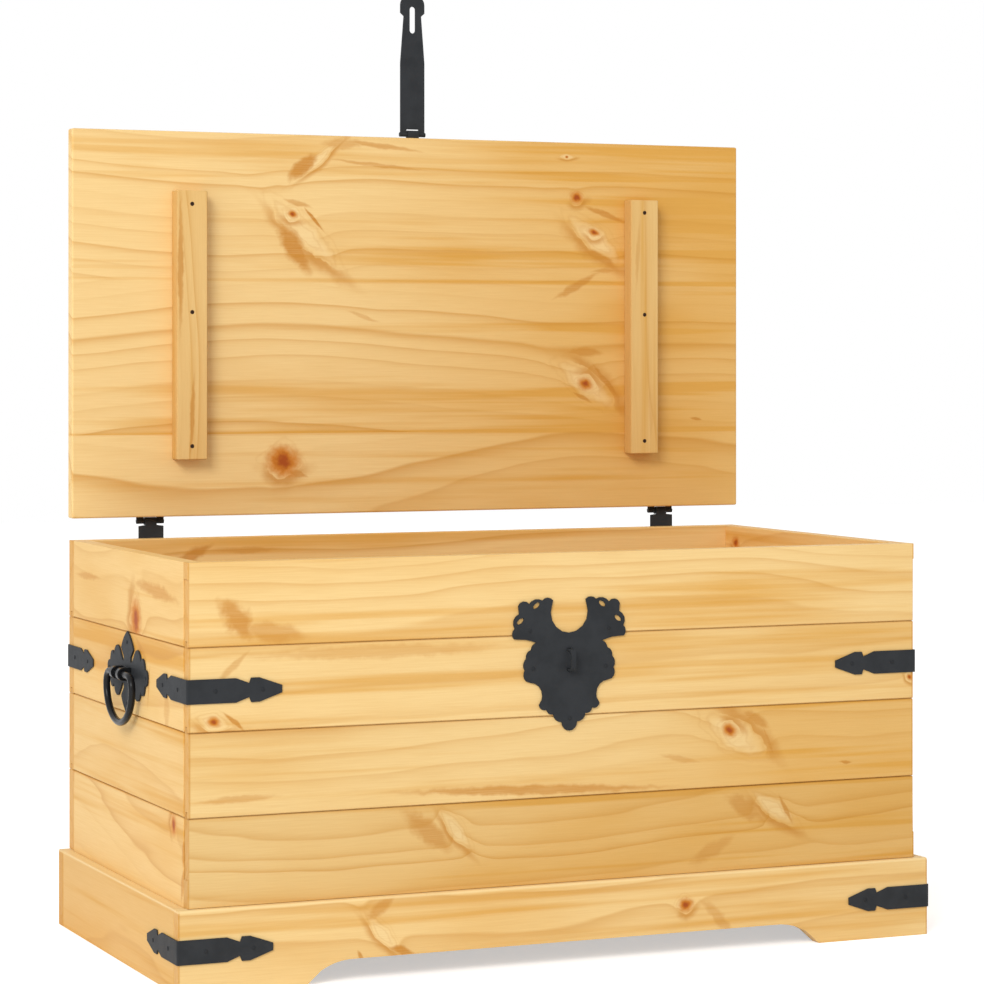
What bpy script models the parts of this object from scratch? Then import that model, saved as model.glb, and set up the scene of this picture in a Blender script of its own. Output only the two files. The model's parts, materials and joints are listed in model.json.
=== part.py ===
"""Storage chest of pine boards with wrought iron fittings, modelled with its lid open.

Lengths are in metres. +X points to the right, +Y to the back and +Z up. The origin lies on the
floor under the middle of the plinth.
"""
import math

import bmesh
import bpy
from mathutils import Vector

# Clearances
GAP = 0.0003
TURNING_CLEARANCE = 0.0004
LOOP_SIDE_CLEARANCE = 0.001
OVERRUN = 0.01

# Plinth
PLINTH_WIDTH = 0.909
PLINTH_DEPTH = 0.463
PLINTH_HEIGHT = 0.089
PLINTH_FRONT_BOARD = 0.016
PLINTH_SIDE_BOARD = 0.013
PLINTH_BACK_BOARD = 0.019
PLINTH_ROUNDING = 0.003
FOOT_WIDTH = 0.143
FOOT_SLOPE_WIDTH = 0.017
FOOT_SLOPE_HEIGHT = 0.015
CUTOUT_HEIGHT = 0.0248
CUTOUT_CURVE_WIDTH = 0.040
CUTOUT_CURVE_SHARES = (0.42, 0.27)
CUTOUT_CURVE_STEPS = 5

# Walls
RIM_HEIGHT = 0.454
WALL = 0.019
FRONT_SETBACK = 0.008
BOARDS_PER_WALL = 4
BOARD_PITCH = 0.0901
WALL_FOOT_HEIGHT = 0.045
JOINT_CHAMFER = 0.0013
RIM_CHAMFER = 0.0008
TONGUE_HEIGHT = 0.006
TONGUE_WIDTH = 0.006
CORNER_LAP = 0.0145
RECESS_DEPTH = 0.0012
RECESS_ABOVE_PLINTH = 0.030
RECESS_BELOW_RIM = 0.018

# Chest bottom
BOTTOM_THICKNESS = 0.009
BOTTOM_HEIGHT = 0.0915
CLEAT = 0.020

# Lid, with its battens
LID_SIDE_OVERHANG = 0.0004
LID_FRONT_OVERHANG = 0.0068
LID_THICKNESS = 0.018
LID_ROUNDING = 0.002
LID_SEAT_GAP = 0.0005
LID_BACK_SETBACK = 0.0006
BATTEN_WIDTH = 0.0385
BATTEN_THICKNESS = 0.020
BATTEN_START = 0.0684
BATTEN_LENGTH = 0.321
BATTEN_INSET = 0.142
BATTEN_ROUNDING = 0.001

# Loop hinges and hasp
IRON_SHEET = 0.002
BAR_RADIUS = 0.0028
BAR_HALF_WIDTH = 0.017
LOOP_HALF_WIDTH = 0.007
LOOP_TURN = math.radians(240)
SLIT_REACH = 0.0065
HINGE_RISE = 0.0197
HINGE_INSET = 0.1015
BODY_LEAF_HALF_WIDTH = 0.0155
BODY_LEAF_ABOVE_RIM = 0.0155
BODY_LEAF_BELOW_RIM = 0.062
BODY_LEAF_CORNER = 0.004
LID_LEAF_LENGTH = 0.150
LEAF_HOLE_MARGIN = 0.012
BODY_LEAF_HOLE_SHARES = (0.2, 0.78)
HASP_PLATE_LENGTH = 0.110
HASP_PLATE_HALF_WIDTH = 0.016
HASP_RISE = 0.0056
HASP_THICKNESS = 0.0025
HASP_HALF_WIDTH = 0.016
HASP_STRAIGHT = 0.089
HASP_WAIST_REACH = 0.147
HASP_WAIST_HALF_WIDTH = 0.0115
HASP_SHOULDER_LENGTH = 0.004
HASP_HEAD_LENGTH = 0.010
HASP_LENGTH = 0.175
SLOT_HALF_WIDTH = 0.0037
SLOT_START = 0.1258
SLOT_END = 0.159
ROUND_END_STEPS = 6

# Lock plate and staple
LOCK_PLATE_BELOW_RIM = 0.049
LOCK_PLATE_WIDTH = 0.138
LOCK_PLATE_HEIGHT = 0.148
DROP_SHARES = ((0.290, 0.943), (0.431, 0.830))
DROP_HALF_LENGTH = 0.005
DROP_HALF_WIDTH = 0.0025
DROP_TILT = -0.65
DROP_SIDES = 8
LOCK_PLATE_NAIL_SHARES = ((-0.348, 0.757), (0.348, 0.757), (-0.319, 0.473), (0.319, 0.473), (0.0, 0.095))
STAPLE_HALF_WIDTH = 0.0029
STAPLE_THICKNESS = 0.0025
STAPLE_HEIGHT = 0.025
STAPLE_REACH = 0.0115
STAPLE_BEND = 0.004
STAPLE_DEPTH_IN_WOOD = 0.012

# Corner straps
STRAP_SHEET = 0.0015
STRAP_LEG = 0.105
STRAP_HALF_WIDTH = 0.013
STRAP_BEND = 0.001
BODY_STRAP_BELOW_RIM = 0.1364
PLINTH_STRAP_HEIGHT = 0.0454
SPEAR_TIP_HALF_WIDTH = 0.004
SPEAR_HEAD_LENGTH = 0.0255
SPEAR_SHOULDER_LENGTH = 0.0095
SPEAR_STEP_LENGTH = 0.002
SPEAR_NECK_HALF_WIDTH = 0.0075
SPEAR_TAPER_LENGTH = 0.0145
STRAP_NAIL_REACHES = (0.030, 0.083)

# Side handles
HANDLE_BELOW_RIM = 0.135
HANDLE_FORWARD = 0.015
HANDLE_PLATE_WIDTH = 0.151
HANDLE_PLATE_HEIGHT = 0.093
HANDLE_NAIL_SHARES = ((-0.464, 0.0), (0.464, 0.0), (0.0, 0.366), (0.0, -0.366))
HANDLE_AXIS_OFFSET = 0.0112
HANDLE_DROP = 0.0544
RING_RADIUS = 0.004
RING_HALF_WIDTH = 0.0485
RING_CORNER = 0.0145
RING_SIDES = 10
RING_CORNER_STEPS = 4
RING_DROP_STEPS = 8
HANDLE_LOOP_SPACING = 0.0254
HANDLE_LOOP_WIDTH = 0.008
HANDLE_LOOP_RADIUS = 0.0072
HANDLE_LOOP_BASE = 0.0015
HANDLE_LOOP_STEPS = 10

# Fasteners
NAIL_HOLE_RADIUS = 0.0014
SCREW_RADIUS = 0.0013
SCREW_HEAD_RADIUS = 0.0024
SCREW_HEAD_HEIGHT = 0.0016
SCREW_LENGTH = 0.032
BATTEN_SCREW_MARGIN = 0.016
BATTEN_MIDDLE_SCREW_SHARE = 0.548
ROUND_SIDES = 16
FASTENER_SIDES = 8

# Places that follow from the sizes above
BODY_HALF_WIDTH = PLINTH_WIDTH / 2 - PLINTH_SIDE_BOARD
BODY_FRONT = -PLINTH_DEPTH / 2 + FRONT_SETBACK
BODY_BACK = PLINTH_DEPTH / 2
INNER_HALF_WIDTH = BODY_HALF_WIDTH - WALL
INNER_FRONT = BODY_FRONT + WALL
INNER_BACK = BODY_BACK - WALL
LID_WIDTH = 2 * (BODY_HALF_WIDTH + LID_SIDE_OVERHANG)
LID_DEPTH = BODY_BACK - LID_BACK_SETBACK - BODY_FRONT + LID_FRONT_OVERHANG
LOOP_INNER_RADIUS = BAR_RADIUS + TURNING_CLEARANCE
SLIT_HALF_WIDTH = LOOP_HALF_WIDTH + LOOP_SIDE_CLEARANCE
HINGE_Y = BODY_BACK + GAP + IRON_SHEET + LOOP_INNER_RADIUS
HINGE_Z = RIM_HEIGHT + HINGE_RISE
HINGE_X = LID_WIDTH / 2 - HINGE_INSET
LID_INNER = HINGE_Y - HINGE_RISE + LID_SEAT_GAP
LID_OUTER = LID_INNER + LID_THICKNESS
LID_FOOT = HINGE_Z + HINGE_Y - (BODY_BACK - LID_BACK_SETBACK)
LID_TOP = LID_FOOT + LID_DEPTH
HASP_Y = LID_OUTER + GAP + IRON_SHEET + LOOP_INNER_RADIUS
HASP_Z = LID_TOP + HASP_RISE
LOCK_PLATE_FRONT = BODY_FRONT - GAP - IRON_SHEET
HASP_AXIS_WHEN_SHUT = RIM_HEIGHT + LID_SEAT_GAP + HASP_Y - LID_INNER
STAPLE_Z = HASP_AXIS_WHEN_SHUT - (SLOT_START + SLOT_END) / 2
LOCK_PLATE_TIP_HEIGHT = RIM_HEIGHT - LOCK_PLATE_BELOW_RIM - LOCK_PLATE_HEIGHT
BODY_STRAP_HEIGHT = RIM_HEIGHT - BODY_STRAP_BELOW_RIM
HANDLE_HEIGHT = RIM_HEIGHT - HANDLE_BELOW_RIM
HANDLE_Y = (BODY_FRONT + BODY_BACK) / 2 - HANDLE_FORWARD
SPEAR_LENGTH = SPEAR_HEAD_LENGTH + SPEAR_SHOULDER_LENGTH + SPEAR_STEP_LENGTH + SPEAR_TAPER_LENGTH

PINE = ((0.86, 0.62, 0.30), 0.45, 0.0)
PINE_PLINTH = ((0.84, 0.60, 0.29), 0.45, 0.0)
PINE_LID = ((0.80, 0.55, 0.25), 0.45, 0.0)
IRON = ((0.040, 0.044, 0.048), 0.55, 0.6)
FASTENER_STEEL = ((0.030, 0.031, 0.033), 0.5, 0.8)


def clear_scene():
    for item in list(bpy.data.objects):
        bpy.data.objects.remove(item)


def add_material(item, finish):
    color, roughness, metallic = finish
    made = bpy.data.materials.new(item.name + "_finish")
    made.use_nodes = True
    shader = made.node_tree.nodes["Principled BSDF"]
    shader.inputs["Base Color"].default_value = (*color, 1.0)
    shader.inputs["Roughness"].default_value = roughness
    shader.inputs["Metallic"].default_value = metallic
    made.diffuse_color = (*color, 1.0)
    item.data.materials.append(made)


def add_pivot(name, place, parent=None):
    pivot = bpy.data.objects.new(name, None)
    bpy.context.collection.objects.link(pivot)
    pivot.location = place
    if parent:
        pivot.parent = parent
        pivot.location = Vector(place) - parent_place(parent)
    return pivot


def parent_place(item):
    place = Vector(item.location)
    while item.parent:
        item = item.parent
        place += item.location
    return place


def add_piece(name, bm, finish, pivot=None):
    """Turns a mesh in world coordinates into a named object whose origin is its pivot."""
    bmesh.ops.recalc_face_normals(bm, faces=bm.faces)
    mesh = bpy.data.meshes.new(name)
    origin = parent_place(pivot) if pivot else Vector()
    bmesh.ops.translate(bm, vec=-origin, verts=bm.verts)
    bm.to_mesh(mesh)
    bm.free()
    item = bpy.data.objects.new(name, mesh)
    bpy.context.collection.objects.link(item)
    item.parent = pivot
    if finish:
        add_material(item, finish)
        mesh.shade_smooth()
        mesh.set_sharp_from_angle(angle=math.radians(35))
    else:
        item.hide_render = True
        item.display_type = "WIRE"
    return item


def combine(item, other, operation):
    change = item.modifiers.new(other.name, "BOOLEAN")
    change.operation = operation
    change.solver = "EXACT"
    change.object = other


def cut(items, cutter):
    for item in items:
        combine(item, cutter, "DIFFERENCE")


def soften(item, width, segments=1):
    edges = item.modifiers.new("softened edges", "BEVEL")
    edges.width = width
    edges.segments = segments
    edges.limit_method = "ANGLE"
    edges.angle_limit = math.radians(40)


def fill_prism(bm, outline, low, high, place):
    """Adds a closed body that has one outline from low to high."""
    rings = [[bm.verts.new(place(u, v, w)) for u, v in outline] for w in (low, high)]
    count = len(outline)
    bm.faces.new(rings[0])
    bm.faces.new(list(reversed(rings[1])))
    for i in range(count):
        j = (i + 1) % count
        bm.faces.new((rings[0][i], rings[0][j], rings[1][j], rings[1][i]))


def prism(outline, low, high, place):
    bm = bmesh.new()
    fill_prism(bm, outline, low, high, place)
    return bm


def box(x_range, y_range, z_range):
    outline = [(x_range[0], y_range[0]), (x_range[1], y_range[0]),
               (x_range[1], y_range[1]), (x_range[0], y_range[1])]
    return prism(outline, *z_range, lambda u, v, w: Vector((u, v, w)))


def fill_turned(bm, profile, sides, base, direction):
    """Adds a closed turned body. The profile lists radius and height along the direction."""
    axis = Vector(direction).normalized()
    side = axis.orthogonal().normalized()
    other = axis.cross(side)
    rings = []
    for radius, height in profile:
        ring = []
        for i in range(sides):
            turn = 2 * math.pi * i / sides
            around = side * math.cos(turn) + other * math.sin(turn)
            ring.append(bm.verts.new(Vector(base) + axis * height + around * radius))
        rings.append(ring)
    for low, high in zip(rings, rings[1:]):
        for i in range(sides):
            j = (i + 1) % sides
            bm.faces.new((low[i], low[j], high[j], high[i]))
    bm.faces.new(list(reversed(rings[0])))
    bm.faces.new(rings[-1])


def turned(profile, sides, base, direction):
    bm = bmesh.new()
    fill_turned(bm, profile, sides, base, direction)
    return bm


def point_on_path(start, heading, moves, distance):
    """Point and left normal at a distance along straight runs and round bends in one plane."""
    place = Vector(start)
    left = distance
    for index, (length, radius) in enumerate(moves):
        last = index == len(moves) - 1
        part = left if last else min(left, length)
        ahead = Vector((math.cos(heading), math.sin(heading)))
        normal = Vector((-ahead.y, ahead.x))
        if radius:
            turn = part / radius
            centre = place + normal * radius
            place = centre - Vector((-math.sin(heading + turn), math.cos(heading + turn))) * radius
            heading += turn
        else:
            place = place + ahead * part
        left -= part
        if left <= 0:
            break
    return place, Vector((-math.sin(heading), math.cos(heading)))


def run(length):
    return (length, 0.0)


def bend(radius, angle):
    """A bend to the left, or to the right where the radius is negative."""
    return (abs(radius) * angle, radius)


def ribbon(start, heading, moves, widths, thickness, place, steps_per_bend=3):
    """A strap of changing half width bent along a path, thickened to the path's left."""
    stops = {distance for distance, _ in widths}
    reached = 0.0
    for length, radius in moves:
        if radius:
            stops.update(reached + length * i / steps_per_bend for i in range(steps_per_bend + 1))
        reached += length
    stops = sorted(stop for stop in stops if stop <= reached + 1e-9)
    stops = [stop for i, stop in enumerate(stops) if i == 0 or stop - stops[i - 1] > 1e-6]
    bm = bmesh.new()
    rings = []
    for stop in stops:
        point, normal = point_on_path(start, heading, moves, stop)
        half = width_at(widths, stop)
        far = point + normal * thickness
        rings.append([bm.verts.new(place(*near, side)) for near, side in
                      ((point, -half), (point, half), (far, half), (far, -half))])
    for low, high in zip(rings, rings[1:]):
        for i in range(4):
            j = (i + 1) % 4
            bm.faces.new((low[i], low[j], high[j], high[i]))
    bm.faces.new(rings[0])
    bm.faces.new(list(reversed(rings[-1])))
    return bm


def width_at(widths, distance):
    for (near, low), (far, high) in zip(widths, widths[1:]):
        if distance <= far:
            share = (distance - near) / (far - near)
            return low + (high - low) * share
    return widths[-1][1]


def arc_through(start, via, end, segments):
    """Points after start on the circle through three points, up to and with end."""
    ax, ay = start
    bx, by = via
    cx, cy = end
    scale = 2 * (ax * (by - cy) + bx * (cy - ay) + cx * (ay - by))
    a2, b2, c2 = ax * ax + ay * ay, bx * bx + by * by, cx * cx + cy * cy
    ux = (a2 * (by - cy) + b2 * (cy - ay) + c2 * (ay - by)) / scale
    uy = (a2 * (cx - bx) + b2 * (ax - cx) + c2 * (bx - ax)) / scale
    radius = math.hypot(ax - ux, ay - uy)
    first = math.atan2(ay - uy, ax - ux)
    middle = (math.atan2(by - uy, bx - ux) - first) % math.tau
    sweep = (math.atan2(cy - uy, cx - ux) - first) % math.tau
    if middle > sweep:
        sweep -= math.tau
    turns = [first + sweep * i / segments for i in range(1, segments)]
    points = [(ux + radius * math.cos(turn), uy + radius * math.sin(turn)) for turn in turns]
    return points + [end]


def curved_outline(moves, segments=4):
    """A point is a corner, and a pair of points is an arc through the first to the second."""
    points = [moves[0]]
    for move in moves[1:]:
        if isinstance(move[0], tuple):
            points += arc_through(points[-1], move[0], move[1], segments)
        else:
            points.append(move)
    return points


def fitted(points, width, height):
    """Stretches an outline that was drawn at any scale to a real width and height."""
    drawn_width = max(u for u, v in points) - min(u for u, v in points)
    drawn_height = max(v for u, v in points) - min(v for u, v in points)
    return [(u * width / drawn_width, v * height / drawn_height) for u, v in points]


def mirror_outline(half):
    """Closes a half outline that starts and ends on the line u = 0."""
    return half + [(-u, v) for u, v in reversed(half[1:-1])]


def outline_from_widths(widths):
    return [(half, v) for v, half in widths] + [(-half, v) for v, half in reversed(widths)]


def ellipse(centre, half_long, half_short, tilt, sides):
    points = []
    for i in range(sides):
        turn = math.tau * i / sides
        u, v = half_long * math.cos(turn), half_short * math.sin(turn)
        points.append((centre[0] + u * math.cos(tilt) - v * math.sin(tilt),
                       centre[1] + u * math.sin(tilt) + v * math.cos(tilt)))
    return points


def spear_widths(half_width, length):
    """Half widths along a strap that ends in a spear, measured from its spear's tip."""
    shoulder = SPEAR_HEAD_LENGTH
    neck = shoulder + SPEAR_SHOULDER_LENGTH
    return [(0.0, SPEAR_TIP_HALF_WIDTH),
            (shoulder, STRAP_HALF_WIDTH),
            (neck, STRAP_HALF_WIDTH),
            (neck + SPEAR_STEP_LENGTH, SPEAR_NECK_HALF_WIDTH),
            (SPEAR_LENGTH, half_width),
            (length, half_width)]


def facing_front(y):
    return lambda u, v, w: Vector((u, y - w, v))


# Walls
def board_profile(index, foot, rebate=0.0):
    """Cross section of one wall board: depth from the outer face, then height."""
    top = RIM_HEIGHT - index * BOARD_PITCH
    bottom = top - BOARD_PITCH
    tongue = (WALL - TONGUE_WIDTH) / 2
    groove = tongue - GAP
    if index == 0:
        profile = [(RIM_CHAMFER, top), (WALL - RIM_CHAMFER, top), (WALL, top - RIM_CHAMFER)]
        outer_top = top - RIM_CHAMFER
    else:
        top -= GAP / 2
        outer_top = top - JOINT_CHAMFER
        profile = [(JOINT_CHAMFER, top), (tongue, top), (tongue, top + TONGUE_HEIGHT),
                   (WALL - tongue, top + TONGUE_HEIGHT), (WALL - tongue, top), (WALL, top)]
    if index == BOARDS_PER_WALL - 1:
        profile += [(WALL, foot)]
        if rebate:
            profile += [(rebate, foot), (rebate, PLINTH_HEIGHT + GAP), (0.0, PLINTH_HEIGHT + GAP)]
        else:
            profile += [(0.0, foot)]
    else:
        bottom += GAP / 2
        depth = bottom + TONGUE_HEIGHT + GAP
        profile += [(WALL, bottom), (WALL - groove, bottom), (WALL - groove, depth), (groove, depth),
                    (groove, bottom), (JOINT_CHAMFER, bottom), (0.0, bottom + JOINT_CHAMFER)]
    return profile + [(0.0, outer_top)]


def make_walls():
    """Sixteen boards. The front boards lap over the side boards, the back boards cover them."""
    side_start = BODY_FRONT + CORNER_LAP + GAP
    side_end = BODY_BACK - max(WALL, PLINTH_BACK_BOARD) - GAP
    rebate = PLINTH_FRONT_BOARD - FRONT_SETBACK + GAP
    on_plinth = PLINTH_HEIGHT + GAP
    walls = {"front": [], "back": [], "left": [], "right": []}
    for index in range(BOARDS_PER_WALL):
        shapes = {
            "front": prism(board_profile(index, WALL_FOOT_HEIGHT, rebate), -BODY_HALF_WIDTH,
                           BODY_HALF_WIDTH, lambda d, v, w: Vector((w, BODY_FRONT + d, v))),
            "back": prism(board_profile(index, on_plinth), -BODY_HALF_WIDTH, BODY_HALF_WIDTH,
                          lambda d, v, w: Vector((w, BODY_BACK - d, v))),
            "left": prism(board_profile(index, WALL_FOOT_HEIGHT), side_start, side_end,
                          lambda d, v, w: Vector((-BODY_HALF_WIDTH + d, w, v))),
            "right": prism(board_profile(index, WALL_FOOT_HEIGHT), side_start, side_end,
                           lambda d, v, w: Vector((BODY_HALF_WIDTH - d, w, v))),
        }
        for side, shape in shapes.items():
            walls[side].append(add_piece(f"{side}_board_{index + 1}", shape, PINE))
    for sign, side in ((-1, "left"), (1, "right")):
        cut(walls["front"], corner_lap_cutter(sign, side))
        cut(walls["front"], corner_recess_cutter(sign, side))
    return walls


def corner_lap_cutter(sign, side):
    reach = sorted((sign * (INNER_HALF_WIDTH - GAP), sign * (BODY_HALF_WIDTH + OVERRUN)))
    shape = box(reach, (BODY_FRONT + CORNER_LAP, INNER_FRONT + OVERRUN),
                (WALL_FOOT_HEIGHT - OVERRUN, RIM_HEIGHT + OVERRUN))
    return add_piece(f"{side}_corner_lap_cutter", shape, None)


def corner_recess_cutter(sign, side):
    """A shallow stopped recess down the end grain of the front boards."""
    reach = sorted((sign * (BODY_HALF_WIDTH - RECESS_DEPTH), sign * (BODY_HALF_WIDTH + OVERRUN)))
    shape = box(reach, (BODY_FRONT - OVERRUN, BODY_FRONT + CORNER_LAP + OVERRUN),
                (PLINTH_HEIGHT + RECESS_ABOVE_PLINTH, RIM_HEIGHT - RECESS_BELOW_RIM))
    return add_piece(f"{side}_corner_recess_cutter", shape, None)


# Plinth
def plinth_front_outline():
    foot = PLINTH_WIDTH / 2 - FOOT_WIDTH
    slope = foot - FOOT_SLOPE_WIDTH
    flat = slope - CUTOUT_CURVE_WIDTH
    fall = CUTOUT_HEIGHT - FOOT_SLOPE_HEIGHT
    via = (slope - CUTOUT_CURVE_WIDTH * CUTOUT_CURVE_SHARES[0], CUTOUT_HEIGHT - fall * CUTOUT_CURVE_SHARES[1])
    end = (slope, FOOT_SLOPE_HEIGHT)
    right = [(flat, CUTOUT_HEIGHT)] + arc_through((flat, CUTOUT_HEIGHT), via, end, CUTOUT_CURVE_STEPS)
    right += [(foot, 0.0), (PLINTH_WIDTH / 2, 0.0), (PLINTH_WIDTH / 2, PLINTH_HEIGHT)]
    return right + [(-u, v) for u, v in reversed(right)]


def make_plinth():
    front = -PLINTH_DEPTH / 2
    inner_front = front + PLINTH_FRONT_BOARD
    inner_back = BODY_BACK - PLINTH_BACK_BOARD
    shape = prism(plinth_front_outline(), -PLINTH_FRONT_BOARD, 0.0, facing_front(front))
    bmesh.ops.recalc_face_normals(shape, faces=shape.faces)
    shape.edges.ensure_lookup_table()
    arris = [edge for edge in shape.edges
             if all(abs(vert.co.z - PLINTH_HEIGHT) < 1e-6 and abs(vert.co.y - front) < 1e-6
                    for vert in edge.verts)]
    bmesh.ops.bevel(shape, geom=arris, offset=PLINTH_ROUNDING, segments=3, profile=0.5, affect="EDGES")
    add_piece("plinth_front", shape, PINE_PLINTH)
    for sign, side in ((-1, "left"), (1, "right")):
        reach = sorted((sign * (BODY_HALF_WIDTH + GAP), sign * PLINTH_WIDTH / 2))
        shape = box(reach, (inner_front + GAP, inner_back - GAP), (0.0, PLINTH_HEIGHT))
        add_piece(f"plinth_{side}", shape, PINE_PLINTH)
    shape = box((-PLINTH_WIDTH / 2, PLINTH_WIDTH / 2), (inner_back, BODY_BACK), (0.0, PLINTH_HEIGHT))
    add_piece("plinth_back", shape, PINE_PLINTH)


# Chest bottom
def make_bottom():
    """The bottom lies loose on four cleats that are fixed to the walls and the back of the plinth."""
    half = INNER_HALF_WIDTH - GAP
    front, back = INNER_FRONT + GAP, INNER_BACK - GAP
    shape = box((-half, half), (front, back), (BOTTOM_HEIGHT, BOTTOM_HEIGHT + BOTTOM_THICKNESS))
    add_piece("bottom_panel", shape, PINE)
    heights = (BOTTOM_HEIGHT - GAP - CLEAT, BOTTOM_HEIGHT - GAP)
    cleat_back = BODY_BACK - PLINTH_BACK_BOARD - GAP
    shape = box((-half, half), (front, front + CLEAT), heights)
    add_piece("bottom_cleat_front", shape, PINE)
    shape = box((-half, half), (cleat_back - CLEAT, cleat_back), heights)
    add_piece("bottom_cleat_back", shape, PINE)
    for sign, side in ((-1, "left"), (1, "right")):
        reach = sorted((sign * half, sign * (half - CLEAT)))
        shape = box(reach, (front + CLEAT + GAP, cleat_back - CLEAT - GAP), heights)
        add_piece(f"bottom_cleat_{side}", shape, PINE)


# Lid
def make_lid(pivot):
    shape = box((-LID_WIDTH / 2, LID_WIDTH / 2), (LID_INNER, LID_OUTER), (LID_FOOT, LID_TOP))
    panel = add_piece("lid_panel", shape, PINE_LID, pivot)
    soften(panel, LID_ROUNDING, 2)
    battens = []
    places = []
    foot = LID_FOOT + BATTEN_START
    for sign, side in ((-1, "left"), (1, "right")):
        centre = sign * (LID_WIDTH / 2 - BATTEN_INSET)
        shape = box((centre - BATTEN_WIDTH / 2, centre + BATTEN_WIDTH / 2),
                    (LID_INNER - GAP - BATTEN_THICKNESS, LID_INNER - GAP), (foot, foot + BATTEN_LENGTH))
        batten = add_piece(f"lid_batten_{side}", shape, PINE_LID, pivot)
        soften(batten, BATTEN_ROUNDING)
        battens.append(batten)
        for number, reach in enumerate(batten_screw_reaches(), 1):
            place = (centre, LID_INNER - GAP - BATTEN_THICKNESS, foot + reach)
            shape = turned(screw_profile(0.0), FASTENER_SIDES, place, (0, 1, 0))
            add_piece(f"batten_screw_{side}_{number}", shape, FASTENER_STEEL, pivot)
            places.append((place, (0, 1, 0)))
    holes = turned_group(screw_profile(GAP), places)
    cut(battens + [panel], add_piece("batten_screw_holes", holes, None, pivot))


def batten_screw_reaches():
    middle = BATTEN_LENGTH * BATTEN_MIDDLE_SCREW_SHARE
    return (BATTEN_SCREW_MARGIN, middle, BATTEN_LENGTH - BATTEN_SCREW_MARGIN)


# Fasteners
def screw_profile(clearance):
    """A countersunk screw, or the hole for one where there is a clearance."""
    head = SCREW_HEAD_RADIUS + clearance
    shank = SCREW_RADIUS + clearance
    above = -OVERRUN if clearance else GAP
    return [(head, above), (head, 2 * GAP), (shank, SCREW_HEAD_HEIGHT + clearance),
            (shank, SCREW_LENGTH + clearance)]


def turned_group(profile, places):
    bm = bmesh.new()
    for place, inward in places:
        fill_turned(bm, profile, FASTENER_SIDES, place, inward)
    return bm


def drill(name, places, targets, pivot=None):
    """Holes for nails or screws through sheet iron, each at a place on its outer face."""
    depth = IRON_SHEET + 2 * GAP
    profile = [(NAIL_HOLE_RADIUS, -OVERRUN), (NAIL_HOLE_RADIUS, depth)]
    cut(targets, add_piece(name, turned_group(profile, places), None, pivot))


# Loop hinges and hasp
def looped_leaf(centre, axis_y, axis_z, widths):
    """A leaf of sheet iron whose narrow tongue rolls over a bar. Widths start at the far end."""
    length = widths[-1][0]
    start = (axis_y - LOOP_INNER_RADIUS, axis_z - length)
    reach = length + LOOP_INNER_RADIUS * LOOP_TURN
    moves = [run(length), bend(-LOOP_INNER_RADIUS, LOOP_TURN)]
    return ribbon(start, math.pi / 2, moves, widths + [(reach, LOOP_HALF_WIDTH)], IRON_SHEET,
                  lambda u, v, w: Vector((centre + w, u, v)), steps_per_bend=9)


def add_bar(name, centre, axis_y, axis_z, pivot):
    profile = [(BAR_RADIUS, 0.0), (BAR_RADIUS, 2 * BAR_HALF_WIDTH)]
    shape = turned(profile, ROUND_SIDES, (centre - BAR_HALF_WIDTH, axis_y, axis_z), (1, 0, 0))
    return add_piece(name, shape, None, pivot)


def slit_outline():
    """The slit beside a bar, open to the bar, which is joined on after it is cut."""
    return [(-SLIT_HALF_WIDTH, -BAR_RADIUS), (SLIT_HALF_WIDTH, -BAR_RADIUS),
            (SLIT_HALF_WIDTH, SLIT_REACH), (-SLIT_HALF_WIDTH, SLIT_REACH)]


def barred_leaf(name, centre, axis, widths, face, thickness, finish, pivot):
    """A leaf that starts at a bar, with the slit that the tongue passes through."""
    axis_y, axis_z = axis
    place = lambda u, v, w: Vector((centre + u, face + w, axis_z + v))
    leaf = add_piece(name, prism(outline_from_widths(widths), 0.0, thickness, place), finish, pivot)
    shape = prism(slit_outline(), -OVERRUN, thickness + OVERRUN, place)
    combine(leaf, add_piece(name + "_slit", shape, None, pivot), "DIFFERENCE")
    combine(leaf, add_bar(name + "_bar", centre, axis_y, axis_z, pivot), "UNION")
    return leaf


def make_hinges(pivot):
    leaf_face = LID_OUTER + GAP
    body_leaves = []
    lid_leaves = []
    for sign, side in ((-1, "left"), (1, "right")):
        centre = sign * HINGE_X
        neck = HINGE_RISE - BODY_LEAF_ABOVE_RIM
        length = HINGE_RISE + BODY_LEAF_BELOW_RIM
        shoulder = length - neck
        widths = [(0.0, BODY_LEAF_HALF_WIDTH - BODY_LEAF_CORNER), (BODY_LEAF_CORNER, BODY_LEAF_HALF_WIDTH),
                  (shoulder - IRON_SHEET / 2, BODY_LEAF_HALF_WIDTH), (shoulder, LOOP_HALF_WIDTH),
                  (length, LOOP_HALF_WIDTH)]
        leaf = add_piece(f"hinge_body_leaf_{side}", looped_leaf(centre, HINGE_Y, HINGE_Z, widths), IRON)
        body_leaves.append(leaf)
        spear = spear_widths(BAR_HALF_WIDTH, LID_LEAF_LENGTH)
        widths = [(LID_LEAF_LENGTH - distance, half) for distance, half in reversed(spear)]
        lid_leaves.append(barred_leaf(f"hinge_lid_leaf_{side}", centre, (HINGE_Y, HINGE_Z), widths,
                                      leaf_face, IRON_SHEET, IRON, pivot))
    centres = (-HINGE_X, HINGE_X)
    faces = BODY_BACK + GAP + IRON_SHEET
    places = [((centre, faces, RIM_HEIGHT - BODY_LEAF_BELOW_RIM * share), (0, -1, 0))
              for centre in centres for share in BODY_LEAF_HOLE_SHARES]
    drill("hinge_body_leaf_holes", places, body_leaves)
    places = [((centre, leaf_face + IRON_SHEET, HINGE_Z + reach), (0, -1, 0))
              for centre in centres for reach in leaf_holes(LID_LEAF_LENGTH)]
    drill("hinge_lid_leaf_holes", places, lid_leaves, pivot)


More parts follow.
